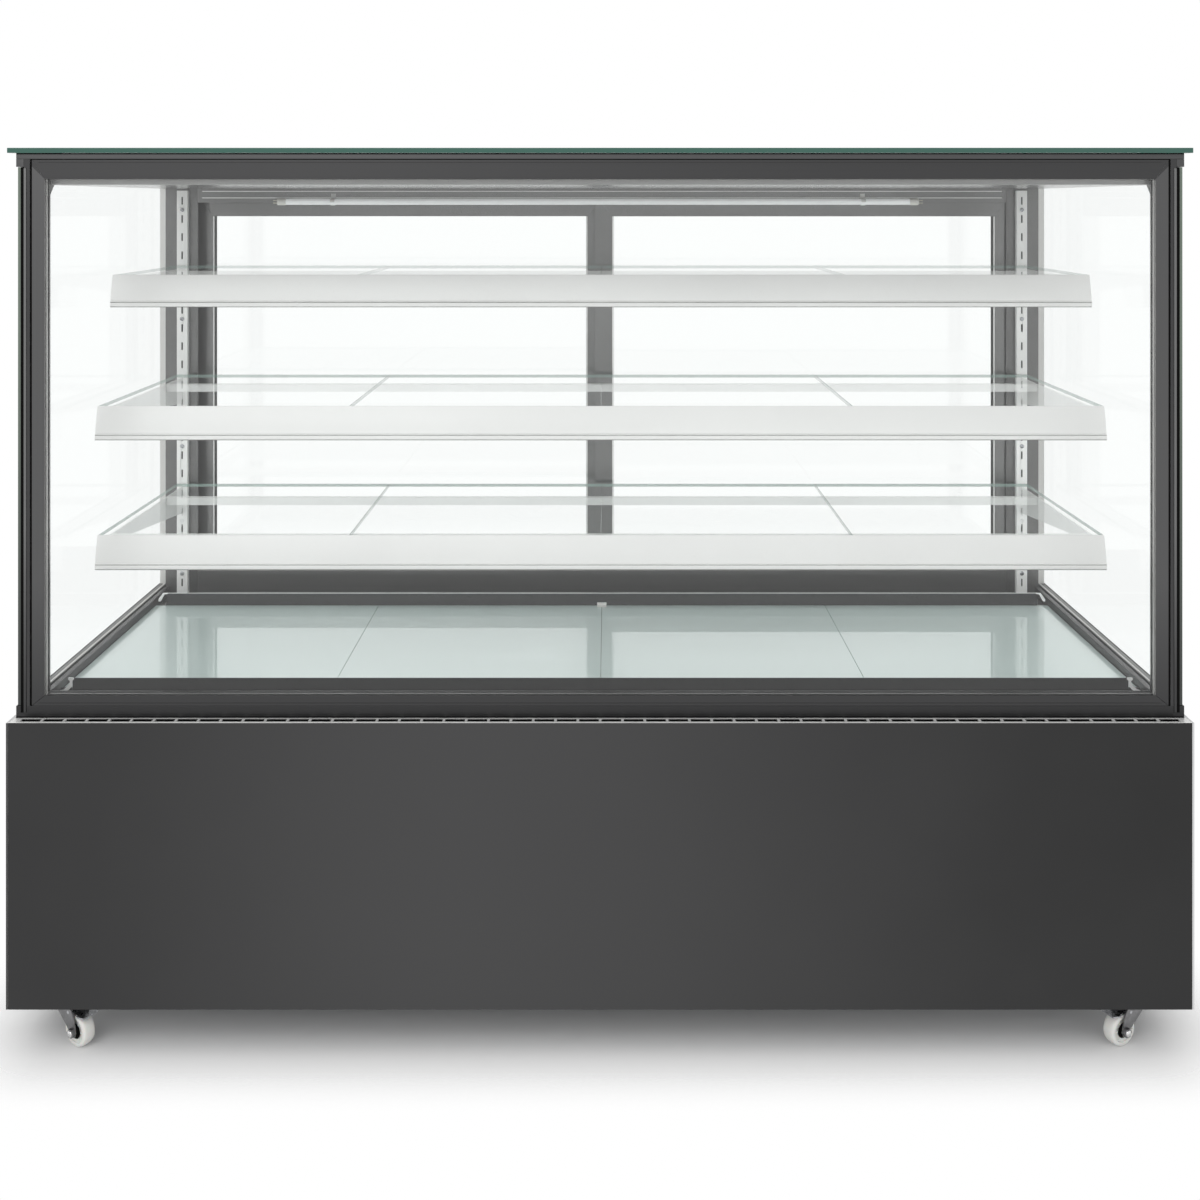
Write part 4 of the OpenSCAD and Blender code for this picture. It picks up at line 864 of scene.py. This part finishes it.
def make_strip_feet():
    """Grooved bead along the foot of each ticket strip, with its shadow gaps."""
    strip_x = node_box("ticket_strips")[0]
    section = [(0.6, -44.2), (-0.5, -44.8), (-0.9, -45.6), (-0.5, -46.3), (-0.1, -46.5), (-0.1, -47.3),
               (-0.9, -47.6), (-1.3, -48.6), (-1.3, -52.6), (-0.9, -53.8), (-0.2, -54.2), (-0.2, -54.9),
               (1.5, -55), (1.5, -44.2)]
    gaps = []
    for level, (front, top) in enumerate(SHELVES):
        mesh = bmesh.new()
        plate(mesh, in_mm([(front - 11.5 + y, top + z) for y, z in section]),
              (strip_x[0] + 0.1 * MM, strip_x[1] - 0.1 * MM))
        build("ticket_bead_%d" % level, mesh, white_profile, "case", smooth=50)
        gaps += [(strip_x, span(front - 11.9, 0.6), span(top - 47.3, 1.1)),
                 (strip_x, span(front - 12, 0.6), span(top - 55.2, 1.1))]
    make_bars("ticket_shadow_gaps", gaps, gap_grey, edge=0.1 * MM)


def make_door_trims():
    """Glazing beads on the doors' stiles and bumpers at their outer edges."""
    for side, name, body in ((-1, "door_left", "left_door"), (1, "door_right", "right_door")):
        x, y, _ = node_box(name + "_frame")
        glass_x, _, glass_z = node_box(name + "_glass")
        edges = (glass_x[0] + REBATE - 1.6 * MM, glass_x[1] - REBATE + 1.6 * MM)
        beads = [((edge - 1.2 * MM, edge + 1.2 * MM), (y[0] - 0.7 * MM, y[0] + 0.2 * MM),
                  (glass_z[0] + REBATE, glass_z[1] - REBATE)) for edge in edges]
        make_bars(name + "_beads", beads, bright_trim_and_highlight, body)
        outer, middle = x[0] if side < 0 else x[1], (y[0] + y[1]) / 2
        reach = tuple(sorted((outer + side * 0.3 * MM, outer - side * 1.5 * MM)))
        stops = [(reach, (middle - 4 * MM, middle + 4 * MM), (h, h + 14 * MM)) for h in (0.6, 1.25)]
        make_bars(name + "_bumpers", stops, rubber, body, edge=0.6 * MM)


def make_deck_clip():
    """Small white clip that holds the middle joint of the deck glass at its rear."""
    glass_y, glass_z = node_box("deck_glass")[1:]
    mesh = bmesh.new()
    y, z = glass_y[1], glass_z[1]
    outline = [(y - 13 * MM, z + 0.2 * MM), (y - 13 * MM, z + 1.2 * MM), (y - 2.2 * MM, z + 2 * MM),
               (y - 2.2 * MM, z + 6 * MM), (y - 0.6 * MM, z + 6 * MM), (y - 0.6 * MM, z + 0.2 * MM)]
    plate(mesh, round_corners(outline, 0.5 * MM), (-9 * MM, 9 * MM))
    build("deck_glass_clip", mesh, white_plastic, "case")


def slab(mesh, x, z, y, radius):
    """Plate with rounded corners in the XZ plane, between two values of Y, with a small edge bevel."""
    loops = []
    bevel = min(0.5 * MM, abs(y[1] - y[0]) / 3)
    for depth, inset in ((y[0], 0), (y[1] - math.copysign(bevel, y[1] - y[0]), 0), (y[1], bevel)):
        cut = [(x[0] + inset, z[0] + inset), (x[1] - inset, z[0] + inset),
               (x[1] - inset, z[1] - inset), (x[0] + inset, z[1] - inset)]
        loops.append([mesh.verts.new((px, depth, pz)) for px, pz in round_corners(cut, radius, 5)])
    mesh.faces.new(loops[0])
    mesh.faces.new(loops[-1])
    for low, high in zip(loops, loops[1:]):
        for k in range(len(low)):
            after = (k + 1) % len(low)
            mesh.faces.new([low[k], low[after], high[after], high[k]])


def make_controller_face():
    """Sealed keypad in the controller's recess: dark display window and four flat keys."""
    middle_x, middle_z, floor_y = -600, 438, 346.9
    window = bmesh.new()
    slab(window, span(middle_x - 4, 31), span(middle_z - 9, 18), span(floor_y - 0.2, 0.65), 1.5 * MM)
    build("controller_window", window, display_red, "case")
    keys = bmesh.new()
    for column in (-25, -14):
        for row in (-6, 6):
            slab(keys, span(middle_x + column - 4, 8), span(middle_z + row - 3.5, 7),
                 span(floor_y - 0.2, 0.7), 1.2 * MM)
    build("controller_keys", keys, key_grey, "case")


def make_gland_ribs():
    """Grip ribs round the cable gland's dome nut."""
    x, y, z = node_box("cable_gland")
    centre = Vector(((x[0] + x[1]) / 2, y[1], (z[0] + z[1]) / 2))
    radius = min(x[1] - x[0], z[1] - z[0]) / 2
    section = [(0.62, -6), (0.7, -6), (0.72, -5.4), (0.7, -0.8), (0.6, 0.2), (0.54, 0.2), (0.54, -6)]

    def rib(angle, r, _):
        return 0.25 * MM if math.sin(12 * angle) > 0 and r > radius * 0.65 else 0.0

    mesh = bmesh.new()
    lathe(mesh, [(radius * share, h * MM) for share, h in section], 36, shape=rib)
    build("gland_grip", mesh, black_plastic, "case", axis_place(centre, (0, 1, 0)), 30)


def make_fan_guard():
    """Wire guard in front of the condenser fan: rings on crossed wires."""
    spin = Vector(JOINTS["condenser_fan_spin"]["pos_m"])
    ring_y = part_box("condenser_fan")[1].y + 3.4 * MM
    wire = 1.1 * MM
    mesh = bmesh.new()
    for r in (0.03, 0.047, 0.064, 0.081, 0.099):
        loop = [(r + wire * math.cos(a), wire * math.sin(a)) for a in [math.pi * k / 4 for k in range(8)]]
        lathe(mesh, loop, 64, Matrix.Translation((spin.x, ring_y, spin.z)) @ UPRIGHT, closed=True)
    for k in range(3):
        turn = Matrix.Rotation(math.pi * k / 3 + 0.3, 4, "Y")
        crossing = Matrix.Translation((spin.x, ring_y + 2 * wire, spin.z)) @ turn
        for side in (-1, 1):
            start, end = [crossing @ Vector((side * r, 0, 0)) for r in (0.03, 0.1)]
            length = (end - start).length
            lathe(mesh, [(0, -0.001), (wire, -0.001), (wire, length), (0, length)], 8,
                  axis_place(start, end - start))
    build("condenser_fan_guard", mesh, zinc, "case", smooth=60)


SMOOTH = smooth_group()

# tones of the anodised aluminium, from dark to pale, and of the painted sheet
DEEP = (0.044, 0.044, 0.045)
DARK = (0.057, 0.057, 0.058)
LIT = (0.1, 0.1, 0.101)
PALER = (0.2, 0.2, 0.199)
# pale tone painted on inner and sideways faces, as the light they catch
INNER_LIT = (0.34, 0.34, 0.335)
LIGHT_GREY = (0.56, 0.56, 0.565)
FINE = {"roughness": (0.275, 0.29), "depth": 0.0, "spread": 0.012}  # for smooth extrusions

sash_x, _, sash_z = node_box("front_sash")
sash_bottom, sash_top, sash_stile = 16 * MM, 30 * MM, 20 * MM  # widths of the sash's members
sash_open = (sash_z[0] + sash_bottom, sash_z[1] - sash_top)
sash_half = sash_x[1] - sash_stile
dark_x = metal("anodised_across", DARK, run("X"))
plinth_dark = metal("anodised_plinth", DEEP, run("X"))
# top rails: near black on their front faces, with the pale inner tone painted behind as the light those faces
# catch
trim = metal("anodised_trim", INNER_LIT, run("X"), other=(0.085, 0.085, 0.086),
             zone=along_axis("Y", -0.324, -0.32))
inner_x = metal("anodised_inner_rails", PALER, run("X"), **FINE)
inner_z = metal("anodised_inner_posts", (0.15, 0.15, 0.149), run("Z"), other=DARK,
                zone=along_axis("Y", -0.25, 0.2), inward_painted_light=INNER_LIT, **FINE)
# pale tone painted on the corner posts' bars as a highlight, fading to DARK below 0.56 m
post_highlight_metal = metal("anodised_post_highlight", (0.16, 0.16, 0.16), run("Z"), other=DARK, zone=along_axis("Z", 0.56, 0.8))
# the ledge's faces turned forwards, such as the far walls of its vent slots, are painted near black as the
# shade in the slots
ledge_metal = metal("ledge_sheet", (0.7, 0.7, 0.69), run("X"), metallic=0.35, roughness=(0.3, 0.42),
                    other=(0.008, 0.008, 0.008), zone=off_front_faces())
white_coat = coated("white_powder_coat", (0.88, 0.88, 0.87), 0.34)
white_profile = coated("white_profile", (0.84, 0.84, 0.83), 0.3, peel=0.02 * MM, grain=900.0)
side_grey = coated("light_grey_sheet", LIGHT_GREY, 0.36)
side_sheet = coated("side_sheet", LIGHT_GREY, 0.36, other=(0.03, 0.03, 0.03), zone=off_front_faces(0.0))
galvanised = zinc_sheet("galvanised_sheet", (0.55, 0.56, 0.57), 45.0)
stainless = metal("brushed_stainless", (0.62, 0.62, 0.62), run("X"), metallic=1.0, roughness=(0.22, 0.36))
zinc = plated("zinc_plate", (0.52, 0.53, 0.55))
fork_zinc = plated("fork_zinc", (0.25, 0.25, 0.255), (0.3, 0.42), relief=0.006 * MM)
bright_zinc = plated("bright_zinc", (0.8, 0.8, 0.8), (0.12, 0.2), relief=0.004 * MM)
nylon = moulded("white_nylon", (0.72, 0.72, 0.69), 0.38, grain=300.0, subsurface=0.12)
black_plastic = moulded("black_plastic", (0.022, 0.022, 0.023), 0.42)
white_plastic = moulded("white_plastic", (0.78, 0.78, 0.76), 0.3, subsurface=0.05)
rubber = moulded("black_rubber", (0.012, 0.012, 0.012), 0.6, grain=400.0, depth=0.1 * MM)
# near-black sealant, also used for bars painted as shade
sealant_and_shade = moulded("black_sealant", (0.003, 0.003, 0.003), 0.7, sheen=0.06)
copper = plated("copper_pipe", (0.72, 0.36, 0.22), (0.22, 0.4))
fins = metal("bare_fins", (0.66, 0.67, 0.68), run("Z"), metallic=1.0, roughness=(0.3, 0.45))

finish_node("front_panel", satin_panel("dark_panel"), 0.9 * MM, 3)
# the sash's uprights are painted DARK low down as shade, rising to LIT above, and its reveals carry the
# painted inner light
finish_node("front_sash", metal("anodised_sash", LIT, run_round(0.0, sash_half, sash_open), other=DARK,
                                zone=painted_light_on_uprights(0.0, sash_half, sash_open, 0.54, 0.72),
                                inward_painted_light=INNER_LIT), 0.6 * MM)
for node, material in {"plinth_rails": plinth_dark, "rear_sill": inner_x, "rear_header": inner_x,
                       "corner_posts": inner_z, "top_rails": trim, "deck_tray": dark_x}.items():
    finish_node(node, material, 0.5 * MM)
finish_node("ledge_grille", ledge_metal, 0.3 * MM, 1)
finish_node("ceiling_panel", metal("ceiling_sheet", (0.24, 0.24, 0.24), run("X"),
                                   roughness=(0.18, 0.26)), 0.4 * MM)
finish_node("side_panels", side_sheet, 0.4 * MM)
for node in ("rear_cover", "rear_grille"):
    finish_node(node, side_grey)
door_stile = 37 * MM
for prefix in ("door_left", "door_right"):
    door_x = node_box(prefix + "_frame")[0]
    glass_z = node_box(prefix + "_glass")[2]
    members = run_round((door_x[0] + door_x[1]) / 2, (door_x[1] - door_x[0]) / 2 - door_stile,
                        (glass_z[0] + REBATE, glass_z[1] - REBATE))
    door_metal = metal("anodised_" + prefix, PALER, members, inward_painted_light=INNER_LIT, **FINE)
    finish_node(prefix + "_frame", door_metal, 0.5 * MM)
    finish_node(prefix + "_glass", pane(prefix + "_panes", "Y", straight=False), 0.4 * MM)
    frame["nodes"][prefix + "_glass"].visible_shadow = False
finish_node("front_glass", pane("front_panes", "Y"), 0.4 * MM)
# the side panes' edges are painted near black near the base as shade
finish_node("side_glass", pane("side_panes", "X", edge=(0.13, 0.165, 0.13), foot=(0.012, 0.016, 0.014),
                               mirror=0.2), 0.4 * MM)
finish_node("top_glass", pane("top_pane", "Z", edge=(0.013, 0.09, 0.064)), 0.8 * MM, 3)
finish_node("shelf_glass", pane("shelf_panes", "Z", edge=(0.30, 0.42, 0.38), straight=False), 0.5 * MM)
frame["nodes"]["shelf_glass"].visible_shadow = False
finish_node("deck_glass", pale_deck("deck_panes"), 0.5 * MM)
for node in ("shelf_standards", "shelf_frames"):
    finish_node(node, white_coat, 0.3 * MM)
finish_node("ticket_strips", white_profile, 0.35 * MM)
finish_node("glass_spacers", spacer_bar("spacer_bar"), 0.3 * MM)
finish_node("glass_seals", sealant_and_shade, 0.3 * MM)
finish_node("led_tube", lamp("lamp_tube", node_box("led_tube")[0], cap=26 * MM, pins=7 * MM))
finish_node("led_clips", white_plastic, 0.2 * MM)
for node in ("base_frame", "base_pan", "evaporator_fan_housings", "condenser_fan_mount", "condensate_pan",
             "electrical_box"):
    finish_node(node, galvanised, 0.3 * MM)
finish_node("tub_liner", stainless, 0.3 * MM)
finish_node("tub_foam", foam_material("rigid_foam"))
for node in ("evaporator_coil", "condenser_coil"):
    finish_node(node, fins)
for node in ("evaporator_fan_left", "evaporator_fan_right"):
    finish_node(node, white_plastic, 0.3 * MM)
finish_node("condenser_fan", fins, 0.3 * MM)
finish_node("compressor", coated("compressor_black", (0.02, 0.02, 0.021), 0.32, peel=0.1 * MM, grain=300.0))
finish_node("refrigerant_pipes", copper)
finish_node("control_panel", black_plastic, 0.4 * MM)
finish_node("power_switch", moulded("green_rocker", (0.02, 0.24, 0.06), 0.22), 0.3 * MM)
finish_node("light_switch", black_plastic, 0.3 * MM)
finish_node("cable_gland", black_plastic, 0.3 * MM)
finish_node("fasteners", zinc)
finish_node("caster_plates", fork_zinc, 0.4 * MM)
for corner in CORNERS:
    finish_node("caster_fork_" + corner, fork_zinc, 0.4 * MM)
    finish_node("caster_wheel_" + corner, nylon, 0.5 * MM)
for side in ("left", "right"):
    finish_node("brake_pedal_" + side, zinc, 0.3 * MM)

# pale metal for trims, also used for strips painted as highlights
bright_trim_and_highlight = metal("bright_trim_and_highlight", (0.8, 0.8, 0.79), run("X"), metallic=0.7, roughness=(0.3, 0.45))
cut_edge = coated("cut_edge", (0.97, 0.97, 0.96), 0.35)
display_red = moulded("display_window", (0.045, 0.006, 0.006), 0.08, depth=0.005 * MM)
key_grey = moulded("key_grey", (0.2, 0.2, 0.21), 0.4)
gap_grey = moulded("gap_grey", (0.2, 0.2, 0.195), 0.5)
make_screws()
make_lip_ends()
make_deck_clip()
make_controller_face()
make_trims()
make_ledge_trims()
make_strip_feet()
make_door_trims()
make_gland_ribs()
make_fan_guard()
for corner in CORNERS:
    make_wheel(corner)
    make_axle_caps(corner)
for side in ("left", "right"):
    make_rotor("evaporator_fan_" + side, 14 * MM, white_plastic)
make_rotor("condenser_fan", 24 * MM, fins)

make_camera()
make_world()
make_floor()
area_light("key", (-1.2, -3.2, 2.7), (-0.3, 0, 0.7), (2.2, 1.6), 34)
